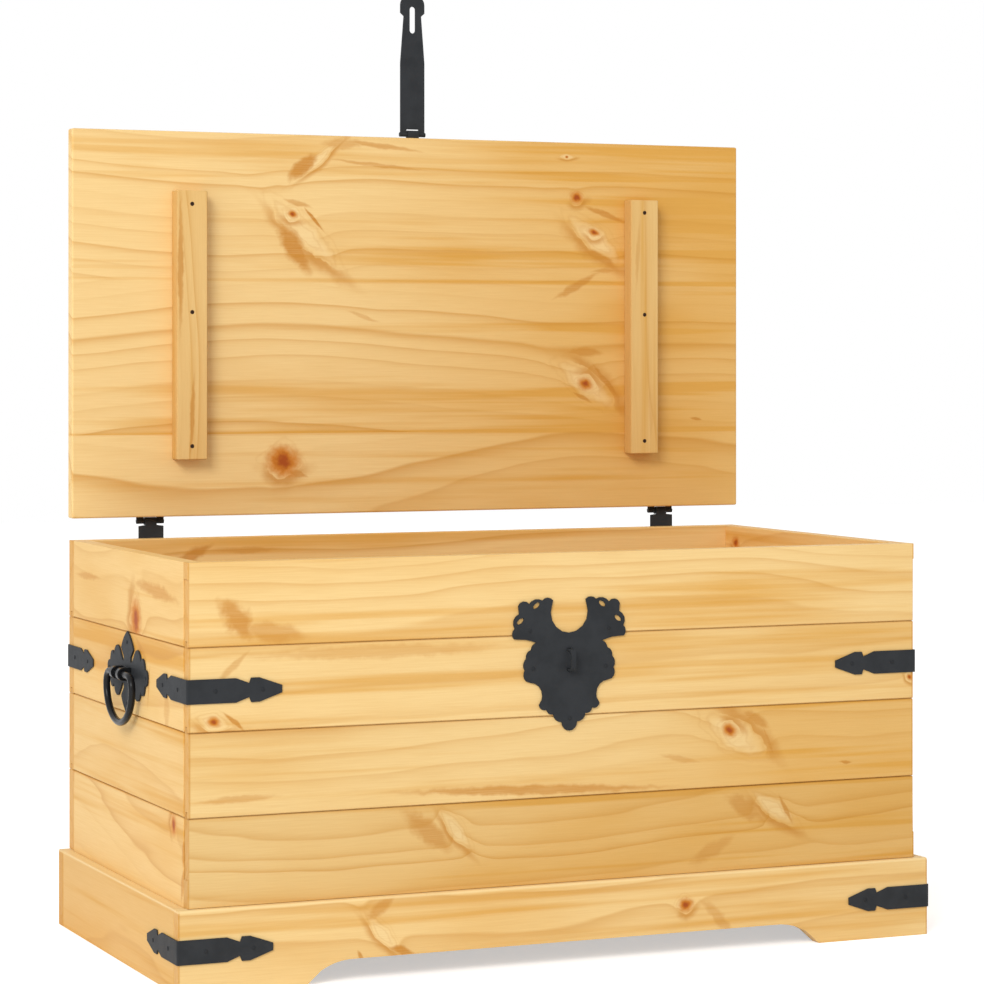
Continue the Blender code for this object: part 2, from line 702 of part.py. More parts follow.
def leaf_holes(length):
    """Hole places along a spear-ended leaf, from its bar: one in the spear and two in the strap."""
    return (length - SPEAR_HEAD_LENGTH, length - SPEAR_LENGTH - LEAF_HOLE_MARGIN, 2 * LEAF_HOLE_MARGIN)


def make_hasp_plate(pivot):
    length = HASP_PLATE_LENGTH + HASP_RISE
    widths = spear_widths(HASP_PLATE_HALF_WIDTH, HASP_PLATE_LENGTH - IRON_SHEET)
    widths += [(HASP_PLATE_LENGTH - IRON_SHEET / 2, LOOP_HALF_WIDTH), (length, LOOP_HALF_WIDTH)]
    plate = add_piece("hasp_lid_plate", looped_leaf(0.0, HASP_Y, HASP_Z, widths), IRON, pivot)
    face = LID_OUTER + GAP + IRON_SHEET
    places = [((0.0, face, HASP_Z - reach), (0, -1, 0)) for reach in leaf_holes(length)]
    drill("hasp_lid_plate_holes", places, [plate], pivot)


def make_hasp(pivot):
    head = HASP_WAIST_REACH + HASP_SHOULDER_LENGTH
    round_start = head + HASP_HEAD_LENGTH
    half = [(HASP_HALF_WIDTH, 0.0), (HASP_HALF_WIDTH, HASP_STRAIGHT),
            (HASP_WAIST_HALF_WIDTH, HASP_WAIST_REACH), (HASP_HALF_WIDTH, head)]
    for i in range(ROUND_END_STEPS + 1):
        turn = math.pi / 2 * i / ROUND_END_STEPS
        reach = round_start + (HASP_LENGTH - round_start) * math.sin(turn)
        half.append((HASP_HALF_WIDTH * math.cos(turn), reach))
    outline = half + [(-u, v) for u, v in reversed(half[:-1])]
    place = lambda u, v, w: Vector((u, HASP_Y + w, HASP_Z + v))
    hasp = add_piece("hasp", prism(outline, -HASP_THICKNESS / 2, HASP_THICKNESS / 2, place), IRON, pivot)
    shape = prism(slit_outline(), -OVERRUN, OVERRUN, place)
    combine(hasp, add_piece("hasp_slit", shape, None, pivot), "DIFFERENCE")
    shape = prism(rounded_slot(SLOT_HALF_WIDTH, SLOT_START, SLOT_END), -OVERRUN, OVERRUN, place)
    combine(hasp, add_piece("hasp_slot", shape, None, pivot), "DIFFERENCE")
    combine(hasp, add_bar("hasp_bar", 0.0, HASP_Y, HASP_Z, pivot), "UNION")


def rounded_slot(half_width, low, high):
    points = []
    for centre, first in ((high - half_width, 0.0), (low + half_width, math.pi)):
        for i in range(ROUND_END_STEPS + 1):
            turn = first + math.pi * i / ROUND_END_STEPS
            points.append((half_width * math.cos(turn), centre + half_width * math.sin(turn)))
    return points


# Lock plate and staple
def lock_plate_outline():
    """Right half from the middle of the upper notch round to the lower tip, mirrored, from the tip up."""
    half = curved_outline([
        (0.0, 108.5), ((17.5, 117.0), (22.6, 132.0)), (19.8, 145.0),
        ((26.0, 148.0), (32.5, 145.0)),
        ((40.5, 146.6), (48.3, 141.5)),
        ((56.0, 144.6), (61.5, 139.5)), (60.6, 130.8),
        ((67.0, 124.0), (65.8, 114.8)),
        ((68.6, 109.5), (66.6, 103.2)),
        (52.0, 102.2), (39.6, 98.8),
        ((44.0, 96.0), (46.2, 90.8)), ((50.8, 87.6), (52.0, 81.4)),
        ((55.2, 76.0), (53.8, 68.4)), ((55.0, 62.0), (51.8, 56.2)),
        (46.5, 54.6), ((36.0, 49.4), (32.6, 39.5)), (33.2, 35.4), (36.6, 29.6),
        ((34.4, 25.4), (27.6, 24.2)), ((25.2, 20.0), (19.4, 18.6)),
        ((16.2, 12.2), (9.2, 9.8)), ((6.2, 2.4), (0.0, 0.0))])
    outline = fitted(mirror_outline(half), LOCK_PLATE_WIDTH, LOCK_PLATE_HEIGHT)
    return [(u, v + LOCK_PLATE_TIP_HEIGHT) for u, v in outline]


def make_lock_plate(front_boards):
    place = facing_front(BODY_FRONT - GAP)
    plate = add_piece("lock_plate", prism(lock_plate_outline(), 0.0, IRON_SHEET, place), IRON)
    drops = bmesh.new()
    for sign in (-1, 1):
        for across, up in DROP_SHARES:
            middle = (sign * across * LOCK_PLATE_WIDTH, up * LOCK_PLATE_HEIGHT + LOCK_PLATE_TIP_HEIGHT)
            outline = ellipse(middle, DROP_HALF_LENGTH, DROP_HALF_WIDTH, sign * DROP_TILT, DROP_SIDES)
            fill_prism(drops, outline, -OVERRUN, OVERRUN, place)
    combine(plate, add_piece("lock_plate_drops", drops, None), "DIFFERENCE")
    add_piece("lock_staple", staple_shape(0.0), IRON)
    socket = add_piece("lock_staple_socket", staple_shape(GAP), None)
    cut([plate] + front_boards, socket)
    face = Vector((0.0, LOCK_PLATE_FRONT, LOCK_PLATE_TIP_HEIGHT))
    places = [(face + Vector((across * LOCK_PLATE_WIDTH, 0.0, up * LOCK_PLATE_HEIGHT)), (0, 1, 0))
              for across, up in LOCK_PLATE_NAIL_SHARES]
    drill("lock_plate_holes", places, [plate])


def staple_shape(clearance):
    """A flat strap bent into an eye, whose two legs go through the lock plate into the wall."""
    thickness = STAPLE_THICKNESS + 2 * clearance
    half_height = STAPLE_HEIGHT / 2 - STAPLE_THICKNESS - clearance
    reach = BODY_FRONT - LOCK_PLATE_FRONT + STAPLE_REACH - STAPLE_THICKNESS - clearance
    depth = STAPLE_DEPTH_IN_WOOD + clearance
    leg = depth + reach - STAPLE_BEND
    start = (BODY_FRONT + depth, STAPLE_Z - half_height)
    corner = bend(-STAPLE_BEND, math.pi / 2)
    moves = [run(leg), corner, run(2 * (half_height - STAPLE_BEND)), corner, run(leg)]
    total = sum(length for length, _ in moves)
    half = STAPLE_HALF_WIDTH + clearance
    return ribbon(start, math.pi, moves, [(0.0, half), (total, half)], thickness,
                  lambda u, v, w: Vector((w, u, v)), steps_per_bend=4)


# Corner straps
def strap_shape(corner, signs, height):
    """A strap bent round an upright corner, with a spear at each end."""
    length = STRAP_LEG + GAP - STRAP_BEND
    total = 2 * length + STRAP_BEND * math.pi / 2
    spear = spear_widths(STRAP_HALF_WIDTH, total / 2)
    widths = spear + [(total - distance, half) for distance, half in reversed(spear[:-1])]
    moves = [run(length), bend(STRAP_BEND, math.pi / 2), run(length)]
    place = lambda u, v, w: Vector((corner[0] + signs[0] * u, corner[1] + signs[1] * v, height + w))
    return ribbon((-GAP, STRAP_LEG), -math.pi / 2, moves, widths, -STRAP_SHEET, place, steps_per_bend=2)


def make_straps():
    """One strap round each upright corner of the body, and one round each front corner of the plinth."""
    corners = (("body_front", BODY_HALF_WIDTH, BODY_FRONT, 1, BODY_STRAP_HEIGHT),
               ("body_back", BODY_HALF_WIDTH, BODY_BACK, -1, BODY_STRAP_HEIGHT),
               ("plinth_front", PLINTH_WIDTH / 2, -PLINTH_DEPTH / 2, 1, PLINTH_STRAP_HEIGHT))
    for place, half_width, y, inward, height in corners:
        for side, sign in (("left", -1), ("right", 1)):
            corner = (sign * half_width, y)
            name = f"corner_strap_{place}_{side}"
            strap = add_piece(name, strap_shape(corner, (-sign, inward), height), IRON)
            drill(name + "_holes", strap_nail_places(corner, (-sign, inward), height), [strap])


def strap_nail_places(corner, signs, height):
    """Places on the outer faces of both legs of a strap, each with its way into the wood."""
    off = GAP + STRAP_SHEET
    places = []
    for reach in STRAP_NAIL_REACHES:
        places.append(((corner[0] - signs[0] * off, corner[1] + signs[1] * reach, height), (signs[0], 0, 0)))
        places.append(((corner[0] + signs[0] * reach, corner[1] - signs[1] * off, height), (0, signs[1], 0)))
    return places


# Side handles
def handle_plate_outline():
    """Upper right quarter from the top tip to the end, mirrored twice, about the plate's middle."""
    quarter = curved_outline([
        (0.0, 46.5), ((13.0, 38.2), (22.8, 27.0)), (12.4, 17.6), (12.6, 12.5), (18.6, 12.5),
        (28.6, 23.8), ((38.0, 28.4), (47.4, 23.4)), (50.6, 16.2),
        ((57.4, 20.6), (63.6, 15.8)), (66.0, 8.8),
        ((73.4, 7.2), (75.5, 0.0))])
    right = quarter + [(u, -v) for u, v in reversed(quarter[:-1])]
    return fitted(mirror_outline(right), HANDLE_PLATE_WIDTH, HANDLE_PLATE_HEIGHT)


def handle_loop_outline():
    """A saddle round the handle's bar: straight cheeks on the plate, then half a round."""
    foot = GAP * 2 + IRON_SHEET
    points = [(foot, -HANDLE_LOOP_RADIUS)]
    for i in range(HANDLE_LOOP_STEPS + 1):
        turn = -math.pi / 2 + math.pi * i / HANDLE_LOOP_STEPS
        points.append((HANDLE_AXIS_OFFSET + HANDLE_LOOP_RADIUS * math.cos(turn),
                       HANDLE_LOOP_RADIUS * math.sin(turn)))
    return points + [(foot, HANDLE_LOOP_RADIUS)]


def add_handle_loops(side, sign, axis_x):
    """Two loops on one base, which hold the ring's bar and leave it bare between them."""
    place = lambda u, v, w: Vector((sign * (BODY_HALF_WIDTH + u), HANDLE_Y + w, HANDLE_HEIGHT + v))
    half = (HANDLE_LOOP_SPACING + HANDLE_LOOP_WIDTH) / 2
    loops = add_piece(f"handle_loops_{side}", prism(handle_loop_outline(), -half, half, place), IRON)
    bore = RING_RADIUS + TURNING_CLEARANCE
    shape = turned([(bore, -OVERRUN), (bore, 2 * half + OVERRUN)], ROUND_SIDES,
                   (axis_x, HANDLE_Y - half, HANDLE_HEIGHT), (0, 1, 0))
    combine(loops, add_piece(f"handle_bore_{side}", shape, None), "DIFFERENCE")
    between = (HANDLE_LOOP_SPACING - HANDLE_LOOP_WIDTH) / 2
    base = GAP * 2 + IRON_SHEET + HANDLE_LOOP_BASE
    height = HANDLE_LOOP_RADIUS + OVERRUN
    reach = HANDLE_AXIS_OFFSET + height
    outline = [(base, -height), (reach, -height), (reach, height), (base, height)]
    gap = add_piece(f"handle_loop_gap_{side}", prism(outline, -between, between, place), None)
    combine(loops, gap, "DIFFERENCE")


def ring_path():
    """Centre line of the handle ring: a straight bar in the loops and a round drop below it."""
    straight = RING_HALF_WIDTH - RING_CORNER
    half = []
    for i in range(RING_CORNER_STEPS + 1):
        turn = math.pi / 2 * (1 - i / RING_CORNER_STEPS)
        half.append((straight + RING_CORNER * math.cos(turn), RING_CORNER * (math.sin(turn) - 1)))
    for i in range(1, RING_DROP_STEPS + 1):
        turn = math.pi / 2 * i / RING_DROP_STEPS
        half.append((RING_HALF_WIDTH * math.cos(turn),
                     -RING_CORNER - (HANDLE_DROP - RING_CORNER) * math.sin(turn)))
    return half + [(-u, v) for u, v in reversed(half[:-1])]


def ring_shape(x, y, z):
    """A round rod swept along the closed path, which lies in an upright plane."""
    path = ring_path()
    bm = bmesh.new()
    rings = []
    for i, point in enumerate(path):
        ahead = Vector(path[(i + 1) % len(path)]) - Vector(point)
        behind = Vector(point) - Vector(path[i - 1])
        along = (ahead.normalized() + behind.normalized()).normalized()
        stretch = 1 / max(0.5, along.dot(ahead.normalized()))
        outward = Vector((-along.y, along.x))
        ring = []
        for j in range(RING_SIDES):
            turn = math.tau * j / RING_SIDES
            spot = Vector(point) + outward * (RING_RADIUS * stretch * math.cos(turn))
            ring.append(bm.verts.new((x + RING_RADIUS * math.sin(turn), y + spot.x, z + spot.y)))
        rings.append(ring)
    for i, ring in enumerate(rings):
        after = rings[(i + 1) % len(rings)]
        for j in range(RING_SIDES):
            k = (j + 1) % RING_SIDES
            bm.faces.new((ring[j], ring[k], after[k], after[j]))
    return bm


def make_handles():
    for sign, side in ((-1, "left"), (1, "right")):
        face = sign * (BODY_HALF_WIDTH + GAP)
        place = lambda u, v, w: Vector((face + sign * w, HANDLE_Y + u, HANDLE_HEIGHT + v))
        shape = prism(handle_plate_outline(), 0.0, IRON_SHEET, place)
        plate = add_piece(f"handle_plate_{side}", shape, IRON)
        axis_x = sign * (BODY_HALF_WIDTH + HANDLE_AXIS_OFFSET)
        add_handle_loops(side, sign, axis_x)
        pivot = add_pivot(f"handle_axis_{side}", (axis_x, HANDLE_Y, HANDLE_HEIGHT))
        add_piece(f"handle_ring_{side}", ring_shape(axis_x, HANDLE_Y, HANDLE_HEIGHT), IRON, pivot)
        outer = face + sign * IRON_SHEET
        places = [((outer, HANDLE_Y + across_share * HANDLE_PLATE_WIDTH,
                    HANDLE_HEIGHT + up * HANDLE_PLATE_HEIGHT), (-sign, 0, 0))
                  for across_share, up in HANDLE_NAIL_SHARES]
        drill(f"handle_plate_{side}_holes", places, [plate])


def main():
    clear_scene()
    lid_pivot = add_pivot("lid_axis", (0.0, HINGE_Y, HINGE_Z))
    hasp_pivot = add_pivot("hasp_axis", (0.0, HASP_Y, HASP_Z), lid_pivot)
    walls = make_walls()
    make_plinth()
    make_bottom()
    make_lid(lid_pivot)
    make_hinges(lid_pivot)
    make_hasp_plate(lid_pivot)
    make_hasp(hasp_pivot)
    make_lock_plate(walls["front"])
    make_straps()
    make_handles()


main()
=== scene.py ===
"""Storage chest of waxed pine with wrought iron fittings, its lid standing open.

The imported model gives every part's place. This script rounds over the sharp edges, adds the nails
and gives each board and fitting its finish. Lengths are in metres.
"""
import json
import math

import bmesh
import bpy
from bpy.props import FloatProperty, FloatVectorProperty, PointerProperty
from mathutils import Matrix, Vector


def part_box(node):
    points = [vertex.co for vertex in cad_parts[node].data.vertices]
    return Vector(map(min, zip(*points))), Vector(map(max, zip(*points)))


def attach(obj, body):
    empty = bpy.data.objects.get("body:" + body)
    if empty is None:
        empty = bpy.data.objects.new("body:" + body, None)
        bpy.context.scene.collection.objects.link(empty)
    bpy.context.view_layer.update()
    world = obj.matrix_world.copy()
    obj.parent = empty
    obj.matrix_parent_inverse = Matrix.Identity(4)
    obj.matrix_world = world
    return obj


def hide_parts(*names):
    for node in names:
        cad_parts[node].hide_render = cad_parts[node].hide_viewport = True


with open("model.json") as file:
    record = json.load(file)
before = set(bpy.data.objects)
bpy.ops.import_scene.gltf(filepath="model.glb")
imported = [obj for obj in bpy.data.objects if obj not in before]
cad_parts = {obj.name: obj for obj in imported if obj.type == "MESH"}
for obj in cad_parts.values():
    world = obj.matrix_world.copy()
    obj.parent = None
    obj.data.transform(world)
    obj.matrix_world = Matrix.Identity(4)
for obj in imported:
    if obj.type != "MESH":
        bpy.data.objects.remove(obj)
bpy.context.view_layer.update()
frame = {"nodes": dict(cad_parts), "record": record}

bl_info = {
    "name": "Storage Chest",
    "version": (1, 0, 0),
    "blender": (4, 5, 0),
    "location": "3D View > Sidebar > Chest",
    "description": "Dresses a pine storage chest with its wood, iron and stage",
    "category": "Object",
}

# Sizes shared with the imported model
RIM_HEIGHT = 0.454
BOARD_PITCH = 0.0901
BOARDS = 4
BODY_HALF_WIDTH = 0.4415
GAP = 0.0003
STRAP_SHEET = 0.0015
IRON_SHEET = 0.002
STRAP_NAIL_REACHES = (0.030, 0.083)
NAIL_HOLE_RADIUS = 0.0014
LOCK_PLATE_NAILS = ((-0.048, 0.369), (0.048, 0.369), (-0.044, 0.327), (0.044, 0.327), (0.0, 0.271))
HANDLE_NAILS = ((-0.0701, 0.0), (0.0701, 0.0), (0.0, 0.034), (0.0, -0.034))
HANDLE_Y = -0.011
HANDLE_HEIGHT = 0.319
HINGE_X = 0.3404
BODY_LEAF_FACE = 0.2338
LID_LEAF_FACE = 0.2381
BODY_LEAF_NAIL_HEIGHTS = (0.4416, 0.4056)
LID_LEAF_NAIL_HEIGHTS = (0.5982, 0.5602, 0.4977)
HASP_PLATE_NAIL_HEIGHTS = (0.8565, 0.8945, 0.9226)
SCREW_HEAD_HEIGHT = 0.0016
SCREW_RADIUS = 0.0013
RING_RADIUS = 0.004
RING_HALF_WIDTH = 0.0485
RING_CORNER = 0.0145
RING_DROP = 0.0544

# Small forms of the nails and screws. A tip is a share of its shank, and the facets of a nail's head and
# the screw's recess are shares of the head's radius and height. The recess is cut from above the head
NAIL_CLEARANCE = 0.0001
NAIL_POINT = 0.002
NAIL_HEAD_LIFT = 0.00002
NAIL_FACETS = ((1.0, 0.35), (0.82, 0.75), (0.45, 1.0))
NAIL_TIP, SCREW_TIP = 0.5, 0.25
SCREW_ARRIS = 0.0001
SCREW_RIM = 0.0003
SCREW_POINT = 0.004
RECESS_ABOVE = 0.001
RECESS_ARM, RECESS_HALF_WIDTH, RECESS_DEPTH = 0.62, 0.13, 0.6

# How finely the meshes are made, with angles in degrees
WELD = 0.00001
FLAT_ANGLE = 0.4
EASED_FROM_ANGLE = 40.0
SHORTEST_EDGE = 0.004
NAIL_SIDES, SCREW_SIDES, RING_SIDES = 12, 24, 20
RING_CORNER_STEPS, RING_BOW_STEPS = 10, 24

# The view, fitted to the chest's corners, with its angles in degrees
SENSOR_WIDTH = 36.0
CAMERA_PLACE = (-1.4686, -3.4119, 0.6712)
CAMERA_ANGLES = (90.0, 0.0, -23.3534)
CAMERA_SHIFT = (-0.0006, -0.1377)

# Each lamp's place, the point that it faces, and its width
KEY_LAMP = ((-4.8, -5.12, 4.6), (0.0, 0.0, 0.35), 3.0)
FILL_LAMP = ((-3.4, -1.4, 1.2), (0.0, 0.0, 0.4), 2.0)
FLOOR_HALF_SIZE = 9.0

SIDES = ("left", "right")
ORIGIN = (0.0, 0.0, 0.0)
WHITE = (1.0, 1.0, 1.0, 1.0)
# A place beyond any board, for an edge without a mark
FAR = 9.0
NO_EDGES = (-FAR, FAR)
# Where a board starts and ends to turn warmer along its grain, and by how much
NOT_WARMER = (0.0, 0.5, 0.0)


# Settings that a user may change

COLOUR = {"subtype": "COLOR", "size": 3, "min": 0.0, "max": 1.0}
SHARE = {"subtype": "FACTOR", "min": 0.0, "max": 1.0}


class ChestWood(bpy.types.PropertyGroup):
    """Colours and finish of the waxed pine."""

    pale: FloatVectorProperty(
        name="Spring Wood", description="Colour between the grain lines",
        default=(0.930, 0.665, 0.300), **COLOUR)
    line: FloatVectorProperty(
        name="Grain Line", description="Colour of the summer wood", default=(0.620, 0.275, 0.035), **COLOUR)
    warm: FloatVectorProperty(
        name="Warm Wood", description="Colour of the warmer patches and streaks",
        default=(0.765, 0.410, 0.090), **COLOUR)
    eye: FloatVectorProperty(
        name="Eye", description="Colour of the pale wood that wraps a knot",
        default=(0.960, 0.730, 0.370), **COLOUR)
    flank: FloatVectorProperty(
        name="Flank", description="Colour of the dark wood beside a knot's eye",
        default=(0.580, 0.235, 0.034), **COLOUR)
    knot: FloatVectorProperty(
        name="Knot", description="Colour of a knot", default=(0.640, 0.225, 0.026), **COLOUR)
    heart: FloatVectorProperty(
        name="Knot Heart", description="Colour of a knot's heart", default=(0.370, 0.066, 0.014), **COLOUR)
    seam: FloatVectorProperty(
        name="Seam", description="Colour of the shadow line along a joint",
        default=(0.380, 0.145, 0.014), **COLOUR)
    roughness: FloatProperty(name="Roughness", description="How matt the wax is", default=0.42, **SHARE)
    edge: FloatProperty(
        name="Edge Rounding", description="Radius of the boards' sanded edges", unit="LENGTH",
        min=0.0001, max=0.002, default=0.0006)


class ChestIron(bpy.types.PropertyGroup):
    """Colour and forging of the iron fittings."""

    colour: FloatVectorProperty(
        name="Iron", description="Colour of the blackened iron", default=(0.0350, 0.0375, 0.0410), **COLOUR)
    roughness: FloatProperty(name="Roughness", description="How matt the iron is", default=0.47, **SHARE)
    edge: FloatProperty(
        name="Edge Rounding", description="Radius of the fittings' filed edges", unit="LENGTH",
        min=0.0001, max=0.001, default=0.0003)
    nail_radius: FloatProperty(
        name="Nail Head Radius", description="Radius of the nail heads", unit="LENGTH",
        min=0.0016, max=0.004, default=0.0024)
    nail_height: FloatProperty(
        name="Nail Head Height", description="Height of the nail heads above the iron", unit="LENGTH",
        min=0.0003, max=0.002, default=0.0009)
    nail_length: FloatProperty(
        name="Nail Length", description="Length of the nails below their heads", unit="LENGTH",
        min=0.003, max=0.014, default=0.011)


class ChestStage(bpy.types.PropertyGroup):
    """Floor, light and camera."""

    floor: FloatVectorProperty(
        name="Floor", description="Colour of the floor", default=(0.93, 0.93, 0.93), **COLOUR)
    floor_lift: FloatProperty(
        name="Floor Lift", description="How far the floor is brightened towards white where it is seen",
        default=0.5, **SHARE)
    daylight: FloatProperty(
        name="Daylight", description="Strength of the even light from all round",
        min=0.0, max=2.0, default=0.61)
    key_strength: FloatProperty(
        name="Key Lamp", description="Power of the large lamp at the front left", unit="POWER",
        min=0.0, max=2000.0, default=318.0)
    fill_strength: FloatProperty(
        name="Fill Lamp", description="Power of the weak lamp at the left", unit="POWER",
        min=0.0, max=2000.0, default=11.0)
    lens: FloatProperty(
        name="Lens", description="Focal length of the camera", unit="CAMERA",
        min=10.0, max=300.0, default=115.92)


# Node building

class Graph:
    """Adds nodes to one node tree and joins them up."""

    def __init__(self, tree):
        self.tree = tree

    def put(self, socket, value):
        if isinstance(value, bpy.types.NodeSocket):
            self.tree.links.new(value, socket)
        else:
            socket.default_value = value

    def add(self, kind, values=(), **settings):
        node = self.tree.nodes.new(kind)
        for name, value in settings.items():
            setattr(node, name, value)
        for socket, value in dict(values).items():
            self.put(node.inputs[socket], value)
        return node

    def math(self, operation, *values, clamp=False):
        return self.add("ShaderNodeMath", enumerate(values), operation=operation, use_clamp=clamp).outputs[0]

    def plus(self, *values, clamp=False):
        return self.math("ADD", *values, clamp=clamp)

    def minus(self, *values, clamp=False):
        return self.math("SUBTRACT", *values, clamp=clamp)

    def times(self, *values, clamp=False):
        return self.math("MULTIPLY", *values, clamp=clamp)

    def vector(self, operation, *values):
        node = self.add("ShaderNodeVectorMath", enumerate(values), operation=operation)
        return node.outputs["Value" if operation == "LENGTH" else "Vector"]

    def scaled(self, vector, factors):
        return self.vector("MULTIPLY", vector, factors)

    def split(self, vector):
        return self.add("ShaderNodeSeparateXYZ", {"Vector": vector}).outputs

    def joined(self, x, y, z):
        return self.add("ShaderNodeCombineXYZ", {"X": x, "Y": y, "Z": z}).outputs[0]

    def noise(self, vector, scale, detail, roughness=0.5):
        values = {"Vector": vector, "Scale": scale, "Detail": detail, "Roughness": roughness}
        return self.add("ShaderNodeTexNoise", values, noise_dimensions="3D").outputs["Fac"]

    def line_noise(self, place):
        values = {"W": place, "Scale": 1.0, "Detail": 1.0}
        return self.add("ShaderNodeTexNoise", values, noise_dimensions="1D").outputs["Fac"]

    def ramp(self, value, low, high, to_low=0.0, to_high=1.0, smooth=True):
        values = {0: value, 1: low, 2: high, 3: to_low, 4: to_high}
        kind = "SMOOTHSTEP" if smooth else "LINEAR"
        return self.add("ShaderNodeMapRange", values, interpolation_type=kind).outputs[0]

    def mix(self, share, first, second):
        return self.add("ShaderNodeMix", {0: share, 6: first, 7: second}, data_type="RGBA").outputs[2]


def colour(value):
    return (*value, 1.0)


def evenly_warm(amount):
    """The warmth of a board that is as warm at one end as at the other."""
    return (-FAR, 1.0 - FAR, amount)


def start_group(name, inputs, outputs):
    """A shader node group, ready to be filled. The first value of an input tells what kind it is."""
    tree = bpy.data.node_groups.new(name, "ShaderNodeTree")
    for label, first in inputs.items():
        kind = "Float" if isinstance(first, float) else "Color" if len(first) == 4 else "Vector"
        socket = tree.interface.new_socket(label, in_out="INPUT", socket_type="NodeSocket" + kind)
        socket.default_value = first
    for label in outputs:
        kind = "Color" if label == "Color" else "Float"
        tree.interface.new_socket(label, in_out="OUTPUT", socket_type="NodeSocket" + kind)
    graph = Graph(tree)
    return graph, graph.add("NodeGroupInput").outputs, graph.add("NodeGroupOutput").inputs


def use_group(graph, name, values):
    """Places a finished group in a node tree with this tree's own values."""
    node = graph.tree.nodes.new("ShaderNodeGroup")
    node.node_tree = bpy.data.node_groups[name]
    for label, value in values.items():
        graph.put(node.inputs[label], value)
    return node.outputs


def pass_on(graph, given, result, label, mark):
    """Puts out a group's mark, or the one from the group before it where that is stronger."""
    graph.put(result[label], graph.math("MAXIMUM", given[label + " In"], mark))


def lens_reach(graph, along, across, length, width):
    """0 in the middle of a lens shape, 1 on its outline."""
    rounding = 1.45
    shares = (graph.math("DIVIDE", along, length), graph.math("DIVIDE", across, width))
    powers = [graph.math("POWER", graph.math("ABSOLUTE", share), rounding) for share in shares]
    return shares, graph.math("POWER", graph.plus(*powers), 1 / rounding)


def place_from_centre(graph, given):
    """Where a point lies from the mark's centre, along and across the grain."""
    return graph.scaled(graph.vector("SUBTRACT", given["Position"], given["Centre"]), (1.0, 1.0, 0.0))


def turned_place(graph, place, tilt):
    values = {"Vector": place, "Angle": graph.times(tilt, -1.0)}
    return graph.add("ShaderNodeVectorRotate", values, rotation_type="Z_AXIS").outputs[0]


def ragged(graph, position, scale):
    """A small random shift of each place, by which outlines become uneven."""
    ripple = graph.add("ShaderNodeTexNoise", {"Vector": position, "Scale": scale, "Detail": 3.0})
    return graph.vector("SUBTRACT", ripple.outputs["Color"], (0.5, 0.5, 0.5))


def make_knot_group():
    """One knot: it swells the rings about it, and marks its core, pale eye, dark flank and inner rings."""
    graph, given, result = start_group("Pine knot", {
        "Position": ORIGIN, "Centre": ORIGIN, "Core": 0.005, "Core Stretch": 1.2, "Eye Length": 0.03,
        "Eye Width": 0.015, "Tilt": 0.0, "Swell Height": 0.02, "Flank Side": -1.0, "Swell In": 0.0,
        "Core In": 0.0, "Eye In": 0.0, "Flank In": 0.0, "Contour In": 0.0,
    }, ("Swell", "Core", "Eye", "Flank", "Contour"))
    position = given["Position"]
    flat = place_from_centre(graph, given)
    # The eye is a ragged lens
    shake = graph.scaled(ragged(graph, position, 45.0), (0.022, 0.013, 0.0))
    size = graph.times(given["Eye Width"], 50.0)
    moved = graph.vector("ADD", flat, graph.scaled(shake, graph.joined(size, size, 0.0)))
    along, across, _ = graph.split(turned_place(graph, moved, given["Tilt"]))
    (a, b), reach = lens_reach(graph, along, across, given["Eye Length"], given["Eye Width"])
    pass_on(graph, given, result, "Eye", graph.ramp(reach, 0.35, 1.02, 1.0, 0.0))
    # The rings swell over it like a soft hill
    fall = graph.math("EXPONENT", graph.times(graph.times(reach, reach), -0.45))
    graph.put(result["Swell"], graph.plus(given["Swell In"], graph.times(fall, given["Swell Height"])))
    # The core is a ragged ellipse, from nothing on its outline to a full mark in its middle
    still = turned_place(graph, flat, given["Tilt"])
    stretch = graph.math("DIVIDE", 1.0, given["Core Stretch"])
    fine = graph.scaled(ragged(graph, position, 130.0), (0.55, 0.55, 0.0))
    near = graph.vector("ADD", graph.scaled(still, graph.joined(stretch, 1.0, 0.0)),
                        graph.scaled(fine, graph.joined(given["Core"], given["Core"], 0.0)))
    core = graph.math("DIVIDE", graph.vector("LENGTH", near), given["Core"])
    pass_on(graph, given, result, "Core", graph.minus(1.15, core, clamp=True))
    # The flank is a dark rim outside one side of the eye
    edge = graph.ramp(reach, 0.94, 1.02)
    fade = graph.ramp(reach, 1.05, 1.9, 1.0, 0.0)
    side = graph.ramp(graph.plus(graph.times(b, given["Flank Side"]), graph.times(a, 0.25)), 0.0, 0.9)
    flank = graph.times(graph.times(edge, fade), side)
    pass_on(graph, given, result, "Flank", graph.times(flank, 0.75))
    # The inner rings follow the lens
    bent = graph.math("MULTIPLY_ADD", graph.noise(position, 60.0, 2.0), 0.5, reach)
    wave = graph.math("COSINE", graph.times(bent, 17.0))
    crest = graph.math("POWER", graph.math("MULTIPLY_ADD", wave, 0.5, 0.5), 2.5)
    band = graph.times(graph.ramp(reach, 0.15, 0.32), graph.ramp(reach, 0.9, 1.6, 1.0, 0.0))
    pass_on(graph, given, result, "Contour", graph.times(crest, band))


